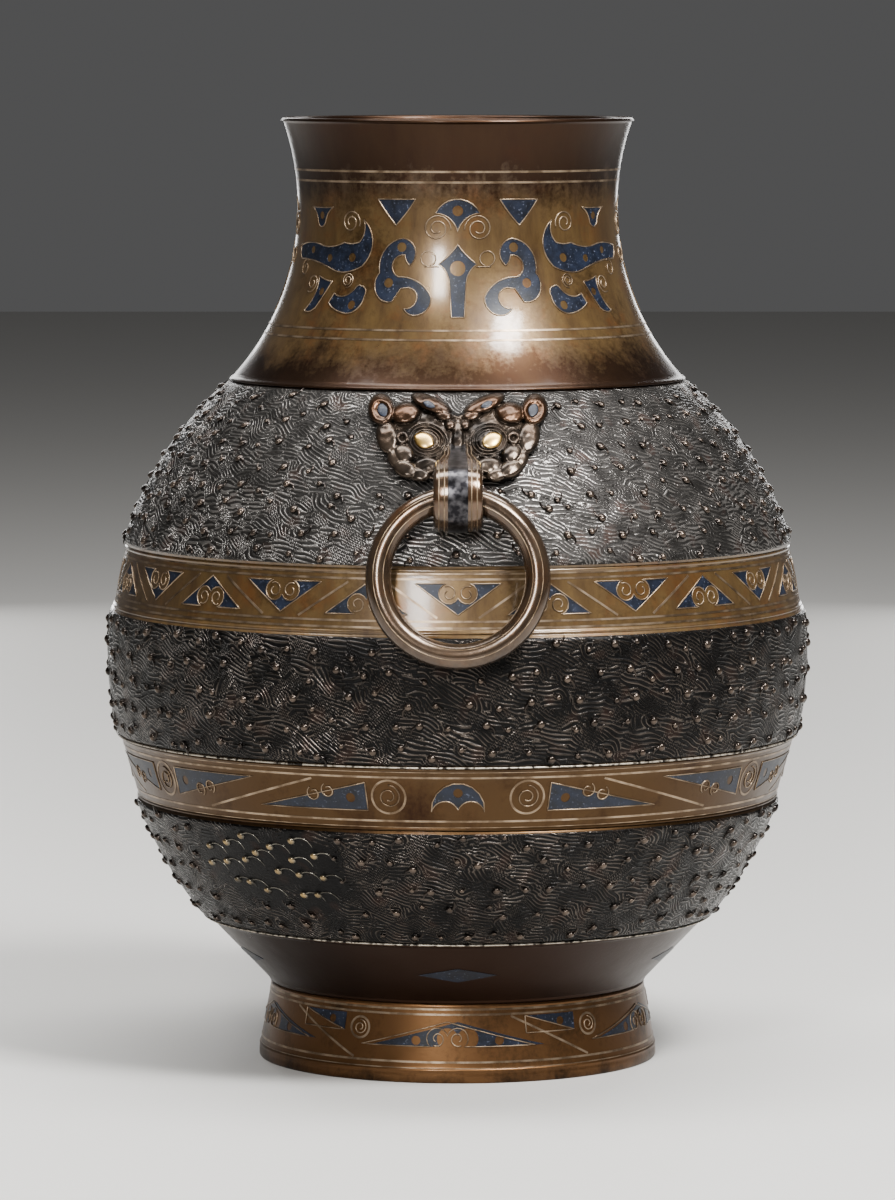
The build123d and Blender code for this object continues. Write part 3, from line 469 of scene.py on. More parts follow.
stud_r, stud_h = 1.55, 1.25
comma_bow, comma_l, comma_r = 2.4, 4.6, 0.42
edge_w, edge_drop, ripple_h = 1.5, 1.4, 0.14
for seed, (belt_name, (z_top, z_low)) in enumerate(belt_levels.items(), start=11):
    draw = np.random.default_rng(seed)
    z, length = belt_frame(z_top, z_low)
    s = np.linspace(0, length, len(z))[:, None]
    girth = 2 * pi * float(belly_at(z, belt_rise).mean())
    turn = np.arange(belt_columns + 1)[None, :] * 2 * pi / belt_columns - pi
    stud_turn, stud_z, main = stud_places(z_top, z_low)
    stud_turn = stud_turn + np.where(main, 0, draw.uniform(-1.2, 1.2, main.shape))
    stud_turn = (stud_turn + 180) % 360 - 180
    stud_z = stud_z + np.where(main, 0, draw.uniform(-1.6, 1.6, main.shape))
    stud_s = np.interp(-stud_z, -z, s[:, 0])
    tilt = draw.uniform(-0.25, 0.25, main.shape) + pi * draw.integers(0, 2, main.shape)
    way = np.stack([np.cos(tilt), np.sin(tilt)], axis=-1)
    bow = draw.choice((-1, 1), main.shape) * 5.0 / draw.uniform(0.05, 0.34, main.shape)
    flow_length = draw.uniform(5.0, 18.0, main.shape)
    bend = sway(turn, s, seed)
    stud_bend = sway(np.radians(stud_turn), stud_s, seed)
    starts = np.stack([np.radians(stud_turn) * girth / (2 * pi) + stud_bend[0], stud_s + stud_bend[1]], axis=-1)
    rolled = turn * girth / (2 * pi) + bend[0]
    lines = carved_lines(rolled, s + bend[1], girth, starts, way, bow, flow_length)
    patch = is_mended(np.degrees(turn), z[:, None])
    if belt_name == "lower":
        lines = faint_lines(turn + 0 * s, z[:, None] + 0 * turn, lines)
    edge = np.minimum(np.minimum(s, length - s) / edge_w, 1.0)
    ripple = ripple_h * np.sin(1.7 * (bend[0] + bend[1])) * edge * ~patch
    points = around(belly_at(z[:, None], belt_rise - edge_drop * (1 - edge) ** 2 + ripple), z[:, None], turn)
    half = belt_columns // 2
    for side, columns in (("left", slice(0, half + 1)), ("right", slice(half, belt_columns + 1))):
        faces = grid_quads(len(z), half + 1)
        made = piece(f"belt_{belt_name}_{side}", points[:, columns], faces,
                     painted_sheen_bronze if belt_name == "upper" else black_and_shaded_bronze)
        corner = lines[:, columns].ravel()[faces]
        apart = corner - corner[:, :1]
        set_values(made.data, "line", corner[:, :1] + apart - np.round(apart), "CORNER")
        set_values(made.data, "rub", 0.29 + 0.17 * np.sin(1.3 * (bend[0] - bend[1]))[:, columns])
    inside = (stud_z < z_top - 2.0) & (stud_z > z_low + 2.0)
    kept = is_clear(stud_turn, stud_z) & inside & ~is_mended(stud_turn, stud_z)
    size = np.where(main, 1.0, draw.uniform(0.62, 0.85, main.shape))[kept]
    studs(f"belt_{belt_name}_studs", stud_turn[kept], stud_z[kept], stud_r * size, stud_h * size,
          way[kept] * (1, -1), -np.sign(bow[kept]) * comma_bow * size, comma_l * size, comma_r, stud_bronze)
bead_r, bead_way, bead_bow, bead_tail_l, bead_tail_r = 1.5, (0.67, 0.74), -4.3, 9.5, 0.2
alike = np.ones(len(mend_places))
studs("mended_patch_beads", mend_places[:, 0], mend_places[:, 1], bead_r * alike, stud_h * alike,
      np.tile(bead_way, (len(mend_places), 1)), bead_bow * alike, bead_tail_l * alike, bead_tail_r, bead_brass)


def spotted_metal(name, spot_mm, detail, spread, dull, bright, metal, roughness):
    """Worn metal: a noise in spots of that size fades a dull colour into a bright one over a spread of values."""
    made, add, shader, place = new_material(name)
    spots = add("TexNoise", {"Vector": place, "Scale": 1 / (spot_mm * mm), "Detail": detail})
    share = add("MapRange", {"Value": spots, "From Min": spread[0], "From Max": spread[1]})
    tone = add("Mix", {0: share, 6: srgb(dull), 7: srgb(bright)}, 2, data_type="RGBA")
    fill(shader, {"Base Color": tone, "Metallic": metal, "Roughness": roughness})
    return made


# Edge under the middle and lower belts: a broken bright line, partly chipped bare metal and partly a painted
# highlight of the edge catching the light
chipped_glint_edge = spotted_metal("chipped_and_glinting_rim", 1.6, 6.0, (0.38, 0.54), "#15110E", "#B3A999", 0.7, 0.4)
edge_turn = -np.arange(10) * 2 * pi / 10
for belt_name in ("middle", "lower"):
    edge_z = belt_levels[belt_name][1] + 0.15
    edge_r = float(belly_at(edge_z, belt_rise)) - 0.45
    edge_profile = line_of(edge_r + 0.4 * np.cos(edge_turn), edge_z + 0.3 * np.sin(edge_turn))
    piece(f"belt_{belt_name}_bright_edge", *spun(edge_profile, body_columns), chipped_glint_edge)

# Foot ring and base plate. The foot is a flared bronze ring soldered under the base cone, worn to copper
# brown; the plate inside its top closes the vessel.

foot_rim_z, foot_rim_r, foot_wall = 3.5, 67.8, 3.6
foot_face = [(foot_top_r, foot_top_z), (foot_rim_r, foot_rim_z)]
foot_profile = np.concatenate([
    band_line(*foot_face, rim=0.3),
    line_of(foot_rim_r + np.array([0.05, 0.1, 0.1, -0.1, -0.5]), np.array([2.9, 2.2, 0.6, 0.15, 0.0])),
    line_of(foot_rim_r - foot_wall + np.array([0.4, 0.0, 0.0]), np.array([0.0, 0.4, foot_rim_z])),
    line_of(foot_top_r - foot_wall + np.array([0.0, 0.4]), foot_top_z - np.array([0.4, 0.0])),
])
# Bronze worn to copper brown by lifting and setting down: warmer than the neck, with little wax left; painted
# shade below the shoulder keeps its colour near the dark tone, a little darker towards its bottom edge
foot_bronze = bronze("worn_copper_bronze", light="#6E4E2E", dark="#583D24", stain="#181009", streak_mm=14.0,
                     dark_levels=((0.0, 5.0, 0.12),))
foot = piece("foot_casting", *spun(foot_profile, body_columns), foot_bronze)
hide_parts("foot_ring")


def finish_nodes(material, *names):
    """Gives the frame's own pieces a finish."""
    for name in names:
        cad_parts[name].material_slots[0].material = material


finish_nodes(foot_bronze, "base_plate")

# Inlay of the neck. Sheets of slate-blue stone let into sunk beds and ground flush; a pale wire of copper and
# silver is hammered into a groove round every sheet and curls on beside it.

# Slate-blue stone ground flush: near black in shade, cloudy blue in the light, with pale specks
blue_stone, add, shader, place = new_material("slate_blue_stone")
veins = add("TexNoise", {"Vector": place, "Scale": 1 / (5 * mm), "Detail": 6.0, "Roughness": 0.65})
specks = add("TexNoise", {"Vector": place, "Scale": 1 / (0.8 * mm), "Detail": 2.0})
cloudy = add("MapRange", {"Value": veins, "From Min": 0.35, "From Max": 0.68})
stone = add("Mix", {0: cloudy, 6: srgb("#080A10"), 7: srgb("#141A28")}, 2, data_type="RGBA")
pale = add("MapRange", {"Value": specks, "From Min": 0.63, "From Max": 0.76, "To Max": 0.42})
stone = add("Mix", {0: pale, 6: stone, 7: srgb("#6F7586")}, 2, data_type="RGBA")
rough = add("MapRange", {"Value": veins, "To Min": 0.28, "To Max": 0.5})
worn = add("Bump", {"Height": specks, "Strength": 0.3, "Distance": 0.1 * mm})
fill(shader, {"Base Color": stone, "Roughness": rough, "Normal": worn, "Specular IOR Level": 0.25})
# Wire of copper and silver, tarnished in stretches: thin pale lines that break off and come back
pale_wire = spotted_metal("copper_silver_wire", 6.0, 5.0, (0.4, 0.62), "#5C4C3B", "#927F69", 0.9, 0.38)
wire_r = 0.22


def tube_quads(rows, sides):
    """Faces of a tube given as rows of points round it, both ends closed by a strip of faces."""
    strip = np.array([(i, i + 1, sides - 2 - i, sides - 1 - i) for i in range(sides // 2 - 1)])
    return np.concatenate([grid_quads(rows, sides, wrap_cols=True), strip, strip[:, ::-1] + (rows - 1) * sides])


def wire(flat, turn, height, radius_at, upright=1, closed=False):
    """Round wire along a flat path that is carried straight back onto the vessel, at a turn in degrees from the
    front: six points square to the path at each step, about the direction out from the axis."""
    x, z = upright * flat[:, 0], height + upright * flat[:, 1]
    depth = np.sqrt(radius_at(z) ** 2 - x**2)
    t = radians(turn)
    path = np.stack([x * cos(t) + depth * sin(t), x * sin(t) - depth * cos(t), z], axis=-1)
    step = np.roll(path, -1, 0) - np.roll(path, 1, 0) if closed else np.gradient(path, axis=0)
    along = unit(step)
    side = unit(np.cross(along, path * (1, 1, 0)))
    lift = np.cross(side, along)
    a = np.arange(6) * pi / 3
    ring = np.cos(a)[:, None] * lift[:, None] + np.sin(a)[:, None] * side[:, None]
    faces = grid_quads(len(path), 6, True, True) if closed else tube_quads(len(path), 6)
    return (path[:, None] + wire_r * ring).reshape(-1, 3), faces[:, ::-1]


def joined(parts):
    """Points and faces of several parts as one."""
    starts = np.cumsum([0] + [len(points) for points, _ in parts[:-1]])
    return (np.concatenate([points for points, _ in parts]),
            np.concatenate([faces + start for (_, faces), start in zip(parts, starts)]))


def outline(corners, width, hand=1, steps=9):
    """Points round a closed outline drawn for a width of 1. Each corner is x, y and the bow of the edge to the
    next one: that edge is the arc whose middle stands the bow's length to the left of the straight line."""
    corners = np.array(corners) * width
    start, bow = corners[:, None, :2], corners[:, None, 2:]
    chord = np.roll(corners, -1, 0)[:, None, :2] - start
    length = np.linalg.norm(chord, axis=-1, keepdims=True)
    bow = np.where(bow == 0, 1e-4 * length, bow)
    radius = (length**2 / 4 + bow**2) / (2 * bow)
    half = 2 * np.arctan(2 * bow / length)
    at = half * (2 * np.arange(steps)[None, :, None] / steps - 1)
    left = np.stack([-chord[..., 1], chord[..., 0]], axis=-1) / length
    flat = start + chord / 2 + chord / length * radius * np.sin(at) + left * radius * (np.cos(at) - np.cos(half))
    return flat.reshape(-1, 2) * (hand, 1)


def curl(x, y, radius, turns, start, hand=1, inner=0.28, steps=40):
    """Wire that curls inwards from a start in degrees: its radius falls evenly to the inner share."""
    t = np.linspace(0, 1, steps)
    a = radians(start) - 2 * pi * turns * t
    r = radius * (1 - (1 - inner) * t)
    return np.stack([x + r * np.cos(a), y + r * np.sin(a)], axis=-1) * (hand, 1)


fan = [(-0.5, 0.0, 0.31), (0.5, 0.0, -0.11), (0.0, -0.42, -0.11)]
arrow = [(-0.5, 0.49, -0.03), (0.0, 1.0, -0.03), (0.5, 0.49, -0.06), (0.22, 0.02, 0.0),
         (0.17, -0.89, 0.0), (-0.17, -0.89, 0.0), (-0.22, 0.02, -0.06)]
corner = [(-0.5, 0.3, 0.0), (0.5, 0.3, 0.02), (0.0, -0.34, 0.02)]
scroll = [(-0.39, 0.06, 0.16), (0.0, 0.635, 0.155), (0.1375, 0.1875, 0.02), (0.045, 0.36, -0.17),
          (-0.045, 0.0, 0.1), (0.545, -0.33, 0.2), (0.105, -0.52, -0.185), (0.15, -0.175, 0.0),
          (0.015, -0.19, 0.0), (-0.12, -0.41, 0.1), (-0.46, -0.145, 0.025)]
bird = [(-0.37, 0.235, -0.03), (-0.34, 0.04, -0.012), (-0.17, 0.034, -0.02), (0.11, 0.0, 0.03),
        (0.53, -0.01, 0.02), (0.48, -0.12, -0.026), (-0.07, -0.205, 0.035), (-0.4, -0.17, 0.09)]
bud = [(-0.5, 0.24, -0.01), (0.5, 0.24, -0.06), (0.18, -0.1, 0.16), (-0.18, -0.1, -0.06)]
moon = [(-0.49, 0.11, 0.07), (-0.35, 0.33, 0.03), (-0.21, 0.29, -0.13), (0.4, 0.15, 0.0),
        (0.52, -0.07, 0.05), (-0.1, -0.295, 0.12)]
leaf = [(-0.42, 0.355, -0.03), (0.245, 0.51, -0.17), (0.58, -0.535, 0.08), (0.03, -0.445, 0.0)]
middle_motifs = ((fan, 14.8, 288.9), (arrow, 12.6, 265.9))
paired_motifs = ((corner, 13.4, 289.4, 22.0), (scroll, 20.0, 267.8, -19.2), (bird, 38.0, 277.5, 50.0),
                 (bud, 13.0, 287.2, 56.5), (moon, 14.6, 259.8, 38.5), (leaf, 11.0, 261.9, 51.0))
neck_curls = ((40.7, 285.6, 4.0, 1.7, 200), (39.5, 266.4, 2.5, 2.0, 270), (56.9, 265.1, 3.2, 1.5, 300),
              (64.0, 269.9, 3.0, 1.3, 120))
fan_curl = curl(6.9, 0.0, 4.7, 1.9, 185)
arrow_ring = curl(9.8, 0.0, 2.5, 0.95, 260, inner=0.97)
arrow_line = np.stack([np.linspace(6.2, 11.0, 8), np.zeros(8)], axis=-1)
middle_wires = ((fan_curl, 283.8), (arrow_ring, 273.9), (arrow_line, 271.2))
neck_wires = []
for quarter_turn in (0, 90, 180, 270):
    for corners, width, height in middle_motifs:
        neck_wires.append(wire(outline(corners, width), quarter_turn, height, neck_r, closed=True))
    for hand in (1, -1):
        for flat, height in middle_wires:
            neck_wires.append(wire(flat * (hand, 1), quarter_turn, height, neck_r))
for half_turn in (0, 180):
    for hand in (1, -1):
        for corners, width, height, turn in paired_motifs:
            flat = outline(corners, width, hand)
            neck_wires.append(wire(flat, half_turn + hand * turn, height, neck_r, closed=True))
        for turn, height, radius, turns, start in neck_curls:
            flat = curl(0.0, 0.0, radius, turns, start, hand)
            neck_wires.append(wire(flat, half_turn + hand * turn, height, neck_r))
piece("neck_edge_wires", *joined(neck_wires), pale_wire, slot="wire")
finish_nodes(blue_stone, "neck_fans", "neck_arrows", "neck_corners", "neck_scrolls", "neck_birds", "neck_buds",
             "neck_moons", "neck_leaves")
finish_nodes(pale_wire, "neck_hoops")

# Inlay of the shoulder band. Blue triangles stand and hang by turns, each with a two-lobed bite that holds a
# pair of wire curls; a wire slants between neighbours.


def cone_at(top, low):
    """Radius along the straight face between two profile points, as a function of height."""
    return lambda z: top[0] + (low[0] - top[0]) * (top[1] - z) / (top[1] - low[1])


triangle = [(-0.5, -0.18, 0.0), (0.0, 0.18, 0.0), (0.5, -0.18, 0.0), (0.136, -0.18, -0.168),
            (0.0, -0.015, -0.168), (-0.136, -0.18, 0.0)]
triangle_w, triangle_z, triangle_pairs = 28.0, 165.8, 12
shoulder_at = cone_at(*bands[0])
band_wires = []
for index in range(2 * triangle_pairs):
    at = (index * 180 / triangle_pairs, triangle_z, shoulder_at, 1 if index % 2 else -1)
    band_wires.append(wire(outline(triangle, triangle_w), *at, closed=True))
    for hand in (1, -1):
        band_wires.append(wire(curl(3.0, -1.85, 2.5, 1.0, 300, hand, inner=0.4), *at))
piece("shoulder_edge_wires", *joined(band_wires), pale_wire, slot="wire")
finish_nodes(blue_stone, "shoulder_hanging_triangles", "shoulder_standing_triangles")
finish_nodes(pale_wire, "shoulder_slant_wires", "shoulder_hoops")

# Inlay of the belly band. Blue crescents and long blades, wire roundels with a curl inside, and wires that
# slant between the blades.

crescent = [(-0.5, -0.28, 0.56), (0.5, -0.28, -0.19), (0.0, -0.245, -0.19)]
blade = [(-0.5, -0.12, 0.0), (-0.5, 0.12, 0.0), (0.5, -0.12, 0.0)]
blade_eyes = ((-0.165, 0.04, 0.054), (-0.03, 0.007, 0.054))
crescent_w, blade_w, roundel_r, belly_inlay_z = 17.2, 39.0, 4.0, 101.0
belly_band_at = cone_at(*bands[1])
band_wires = []
for third in (0, 120, 240):
    band_wires.append(wire(outline(crescent, crescent_w), third, belly_inlay_z, belly_band_at, closed=True))
    for turn in (11.6, -11.6, 60):
        flat = curl(0.0, 0.0, roundel_r, 1.6, 90)
        band_wires.append(wire(flat, third + turn, belly_inlay_z, belly_band_at))
    for hand in (1, -1):
        for turn, upright in ((25.4, 1), (46.3, -1)):
            at = (third + hand * turn, belly_inlay_z, belly_band_at, upright)
            band_wires.append(wire(outline(blade, blade_w, hand), *at, closed=True))
            for x, y, r in blade_eyes:
                flat = curl(x * blade_w, y * blade_w, 1.15 * r * blade_w, 1.0, 60, hand, inner=0.5)
                band_wires.append(wire(flat, *at))
piece("belly_edge_wires", *joined(band_wires), pale_wire, slot="wire")
finish_nodes(blue_stone, "belly_crescents", "belly_standing_blades", "belly_hanging_blades")
finish_nodes(pale_wire, "belly_roundels", "belly_slant_wires", "belly_hoops")

# Inlay of the base cone and the foot. Faint blue lozenges above; below, blue peaks and thorns with wire
# curls in a running row.

foot_peak = [(-0.5, -0.07, 0.0), (0.0, 0.07, 0.0), (0.5, -0.07, 0.0), (0.1, -0.07, -0.078),
             (0.0, -0.01, -0.078), (-0.1, -0.07, 0.0)]
thorn = [(-0.5, -0.155, 0.0), (-0.5, 0.155, 0.0), (0.5, -0.155, 0.0)]
foot_peak_w, foot_peak_z, thorn_w, thorn_z, eyelet_z = 58.0, 16.2, 18.4, 19.0, 17.4
foot_at = cone_at(*foot_face)
band_wires = []
for fifth in range(0, 360, 72):
    band_wires.append(wire(outline(foot_peak, foot_peak_w), fifth - 3, foot_peak_z, foot_at, closed=True))
    band_wires.append(wire(outline(thorn, thorn_w), fifth + 28.6, thorn_z, foot_at, closed=True))
    band_wires.append(wire(curl(0, 0, 2.5, 1.5, 90), fifth + 42.0, eyelet_z, foot_at))
    for hand in (1, -1):
        flat = curl(3.4, -1.5, 2.5, 1.0, 300, hand, inner=0.4)
        band_wires.append(wire(flat, fifth - 3, foot_peak_z, foot_at))
piece("foot_edge_wires", *joined(band_wires), pale_wire, slot="wire")
finish_nodes(blue_stone, "base_lozenges", "foot_peaks", "foot_thorns")
finish_nodes(pale_wire, "foot_eyelets", "foot_slant_wires", "foot_hoops")

# Masks. An animal face cast apart and fixed over the upper belt, front and rear: lumps of brow, ear, cheek
# and jowl round two ringed eye sockets, painted dark shade in the hollows and rubbed red-brown on top.

mask_z = 216.4
mask_edge = [(0.0, 0.125), (0.19, 0.197), (0.314, 0.164), (0.425, 0.219), (0.5, 0.132), (0.44, 0.066),
             (0.447, 0.025), (0.358, -0.09), (0.347, -0.154), (0.258, -0.219), (0.136, -0.212), (0.0, -0.195)]
# Each lump: its place across and up, half its width and height in mask widths, tilt in degrees, relief in mm and
# fullness, from a cone's to a flat top
mask_lumps = (
    (0.146, 0.184, 0.122, 0.042, 20, 4.3, 3.4), (0.078, 0.128, 0.056, 0.032, 12, 3.9, 3.0),
    (0.292, 0.138, 0.086, 0.058, -8, 4.5, 3.8), (0.424, 0.152, 0.077, 0.084, -22, 4.8, 3.6),
    (0.392, 0.010, 0.062, 0.092, -12, 3.8, 4.0), (0.308, 0.010, 0.043, 0.043, 0, 4.5, 2.6),
    (0.300, -0.075, 0.066, 0.054, 25, 4.1, 3.0), (0.350, -0.100, 0.040, 0.060, -15, 3.7, 3.0),
    (0.290, -0.155, 0.078, 0.052, 25, 4.3, 3.2), (0.215, -0.185, 0.064, 0.042, 10, 3.9, 3.2),
    (0.170, -0.138, 0.078, 0.048, 0, 3.5, 4.4), (0.042, 0.078, 0.034, 0.032, 0, 3.8, 2.4),
    (0.0, -0.020, 0.036, 0.124, 0, 3.4, 3.0))
ear, boss = mask_lumps[3], mask_lumps[5]
socket_oval = (0.173, -0.004, 0.116, 0.09, 8)
eye_places = ((0.188, -0.004, 0.060, 0.042, 22, 0.9, 2.9),)
drop_places = ((0.418, 0.154, 0.029, 0.037, -22, 0.25, 4.05), (0.160, 0.187, 0.036, 0.017, 22, 0.25, 4.3))
plate_foot, plate_rise, lump_foot, outside = -1.6, 4.0, 1.6, -9.0


def ellipse(x, y, lump):
    """Share of the way from an ellipse's middle to its edge."""
    cx, cy, rx, ry, tilt = lump[:5]
    c, s = cos(radians(tilt)), sin(radians(tilt))
    return np.hypot(((x - cx) * c + (y - cy) * s) / rx, ((y - cy) * c - (x - cx) * s) / ry)


def plate_depth(x, y):
    """Distance in mask widths to the nearest side of the half outline, below zero outside it."""
    edge = np.array(mask_edge)
    start, end = edge[:-1], edge[1:]
    along = end - start
    dx, dy = x[..., None] - start[:, 0], y[..., None] - start[:, 1]
    t = np.clip((dx * along[:, 0] + dy * along[:, 1]) / (along**2).sum(1), 0, 1)
    away = np.hypot(dx - t * along[:, 0], dy - t * along[:, 1]).min(-1)
    crosses = (start[:, 1] > y[..., None]) != (end[:, 1] > y[..., None])
    with np.errstate(divide="ignore", invalid="ignore"):
        at_x = start[:, 0] + (y[..., None] - start[:, 1]) * along[:, 0] / along[:, 1]
    inside = (crosses & (x[..., None] < at_x)).sum(-1) % 2 == 1
    return np.where(inside, away, -away)


mask_x, mask_y = np.meshgrid(np.linspace(-0.54, 0.54, 320), np.linspace(0.26, -0.26, 156))
side_x = np.abs(mask_x)
depth = plate_depth(side_x, mask_y) * mask_w
mask_h = plate_foot + plate_rise * np.clip((depth + 0.55) / 0.9, 0, 1) ** 0.7
domes = np.full(mask_h.shape, outside)
for lump in mask_lumps:
    share = ellipse(side_x, mask_y, lump)
    mask_h = mask_h - 0.4 * np.exp(-(((share - 1.06) / 0.05) ** 2)) * (depth > 0.8)
    dome = lump_foot + (lump[5] - lump_foot) * np.sqrt(np.clip(1 - share ** lump[6], 0, None))
    domes = np.maximum(domes, np.where(share < 1, dome, outside))
mask_h = np.maximum(mask_h, domes)
mask_h = mask_h - 1.9 * np.exp(-((ellipse(side_x, mask_y, boss) / 0.42) ** 2))
mask_h = mask_h - 0.9 * np.exp(-((ellipse(side_x, mask_y, ear) / 0.56) ** 6))
socket = ellipse(side_x, mask_y, socket_oval)
ringed = np.where(socket < 0.52, 3.0, 2.6 + 0.45 * np.cos(2 * pi * (socket - 0.62) / 0.19))
mask_h = np.where(socket < 1, np.maximum(ringed, mask_h * (socket > 0.88)), mask_h)
draw = np.random.default_rng(5)
knobbly = np.zeros(mask_x.shape)
for _ in range(24):
    kx, ky, phase = draw.uniform(-160, 160), draw.uniform(-160, 160), draw.uniform(0, 2 * pi)
    knobbly += np.sin(kx * mask_x + ky * mask_y + phase) / 24**0.5
mask_h = mask_h + 0.06 * knobbly * (mask_h > 1.0)
mask_levels = mask_z + mask_y * mask_w
mask_r = belly_at(mask_levels, belt_rise + mask_h)
mask_points = np.stack([mask_x * mask_w, -np.sqrt(mask_r**2 - (mask_x * mask_w) ** 2), mask_levels], axis=-1)
mask_rub = np.clip((mask_h - 2.6) / 1.4, 0, 1) * np.clip(0.55 + 3.5 * mask_y, 0.3, 1)
# Painted shade: the mask's low places take the near-black groove colour through the line attribute
mask_painted_shade = 0.5 * np.clip((2.2 - mask_h) / 0.6, 0, 1)
# Dark cast bronze: painted black shade in the folds, with wet-looking glints on every lump and red-brown tops
mask_bronze = dark_bronze("mask_bronze", groove="#0A0807", ridge="#453A30", rub="#3A2412", depth_mm=0.05,
                          roughness=0.25)
# Beaten gold, a little soiled: the brightest and yellowest spots of the vessel
soiled_gold = spotted_metal("burnished_gold", 2.5, 4.0, (0.0, 1.0), "#B98A36", "#F0D08A", 1.0, 0.3)
mask_faces = grid_quads(*mask_x.shape)
eye_t, eye_a = np.meshgrid(np.linspace(0.04, 1.0, 7), np.arange(24) * 2 * pi / 24, indexing="ij")
dome_faces = tube_quads(*eye_t.shape)


def mask_dome(x, y, rx, ry, tilt, height, base):
    """Low dome on the mask: an almond or oval whose height falls off as a circle's."""
    c, s = cos(radians(tilt)), sin(radians(tilt))
    across, up = rx * eye_t * np.cos(eye_a), ry * eye_t * np.sin(eye_a) * (1 - 0.35 * np.abs(np.cos(eye_a)) ** 3)
    px, level = (x + across * c - up * s) * mask_w, mask_z + (y + across * s + up * c) * mask_w
    r = belly_at(level, belt_rise + base + height * np.sqrt(1 - (0.98 * eye_t) ** 2))
    return np.stack([px, -np.sqrt(r**2 - px**2), level], axis=-1).reshape(-1, 3), dome_faces


eyes, drops = (joined([mask_dome(hand * x, y, rx, ry, hand * tilt, height, base) for hand in (1, -1)
                       for x, y, rx, ry, tilt, height, base in places]) for places in (eye_places, drop_places))


def pair(name, node, shape, material, slot, body="vessel"):
    """Pieces at the front and, half a turn round, at the rear, each in place of its node."""
    made = []
    for side, facing in (("front", np.ones(3)), ("rear", np.array([-1.0, -1.0, 1.0]))):
        made.append(piece(name.format(side), shape[0] * facing, shape[1], material, body.format(side), slot))
        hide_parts(node.format(side))
    return made


for made in pair("mask_{}_face", "mask_{}", (mask_points, mask_faces), mask_bronze, "dark_bronze"):
    set_values(made.data, "rub", mask_rub)
    set_values(made.data, "line", mask_painted_shade)
pair("mask_{}_gold_eyes", "mask_eyes_{}", eyes, soiled_gold, "gold")
pair("mask_{}_stone_drops", "mask_drops_{}", drops, blue_stone, "blue_inlay")

# Straps. A bronze strap bent round each ring, its ends let through mask and wall and hammered over inside; a
# tarnished silver stripe runs down its middle between pairs of pale wires.

ring_lean, ring_play = 13.0, 0.3
pivot_y, pivot_z = -113.0, 198.4
strap_thick, strap_slope, crown = 5.0, radians(17.0), 0.9
ring_hole_r = ring_r - ring_tube_r
eye_r = ring_tube_r + ring_hole_r - sqrt(ring_hole_r**2 - (strap_w / 2) ** 2) + ring_play
strap_legs = np.array([22, 17, 13.5, 11.2, 8.8, 6.5, 3.4, 0.4])
leg_turn, end_turn = pi / 2 + strap_slope, 3 * pi / 2
strap_turn = np.concatenate([np.full(8, leg_turn), np.linspace(leg_turn, end_turn, 40), np.full(6, end_turn)])
strap_back = np.concatenate([strap_legs, np.zeros(40), np.linspace(0.4, 12, 6)])
rearward = np.where(strap_turn < pi, 1, -1)
out_y, out_z = np.cos(strap_turn), np.sin(strap_turn)
strap_y = pivot_y + eye_r * out_y + strap_back * (rearward * np.sin(strap_turn))
strap_z = pivot_z + eye_r * out_z + strap_back * (-rearward * np.cos(strap_turn))


def strap_sweep(section_x, section_h, taper):
    """Closed section of widths and heights over the strap's hole, carried along its path round the pivot: sloping
    leg, bend and level leg. The upper end narrows."""
    narrow = np.ones(len(strap_y))
    narrow[:8] = np.interp(strap_legs, (0, 6.5, 13.5), (1, 1, taper))
    x = narrow[:, None] * section_x
    y, z = (middle[:, None] + out[:, None] * section_h for middle, out in ((strap_y, out_y), (strap_z, out_z)))
    return np.stack([x, y, z], axis=-1).reshape(-1, 3), tube_quads(len(x), len(section_x))[:, ::-1]


def crowned_section(width, low, high, radius, at_x=0.0):
    """Rounded rectangle of a width between two heights, set at a distance from the strap's middle. Its top
    falls away to the strap's sides as the strap's crown does."""
    a = np.radians(np.linspace(0, 90, 5))
    in_x, in_y, flat_w = radius * np.cos(a), radius * np.sin(a), width / 2 - radius
    over = np.linspace(flat_w, -flat_w, 12)[1:-1]
    x = np.concatenate([flat_w + in_x, over, -flat_w - in_y, -flat_w - in_x, flat_w + in_y])
    top, bottom = high - radius + in_y, low + radius - in_y
    h = np.concatenate([top, np.full(10, high), top[::-1], bottom, bottom[::-1]])
    fall = np.where(h > (low + high) / 2, crown * (2 * (x + at_x) / strap_w) ** 2, 0.0)
    return x + at_x, h - fall


# Brown bronze polished by hands, with a few dark clouds: long clean highlights
ring_bronze = bronze("handled_brown_bronze", light="#5C4A39", dark="#32261C", stain="#140E0A", streak_mm=5.0,
                     stain_share=0.7, roughness=0.2, metal=0.78)
# Silver gone black, grey where a thumb has rubbed it: a mottled stripe with a soft shine
dark_silver = spotted_metal("tarnished_silver", 2.2, 5.0, (0.42, 0.66), "#171619", "#4C4A4C", 0.9, 0.3)
stripe_w, line_w, line_places = 6.5, 0.4, (-6.2, -4.4, 4.4, 6.2)
strap_body = strap_sweep(*crowned_section(strap_w, 0.0, strap_thick - 0.1, 1.2), 0.5)
strap_stripe = strap_sweep(*crowned_section(stripe_w, strap_thick - 1.2, strap_thick - 0.02, 0.12), 0.75)
strap_lines = joined([strap_sweep(*crowned_section(line_w, strap_thick - 1.6, strap_thick + 0.02, 0.1, x), 0.7)
                      for x in line_places])
pair("strap_{}_bronze", "ring_strap_{}", strap_body, ring_bronze, "ring_bronze")
pair("strap_{}_silver_stripe", "strap_stripe_{}", strap_stripe, dark_silver, "silver")
pair("strap_{}_lines", "strap_wires_{}", strap_lines, pale_wire, "wire")

# Rings. A closed cast hoop, loose in each strap, polished brown by hands, with two pale wires let into
# its face.

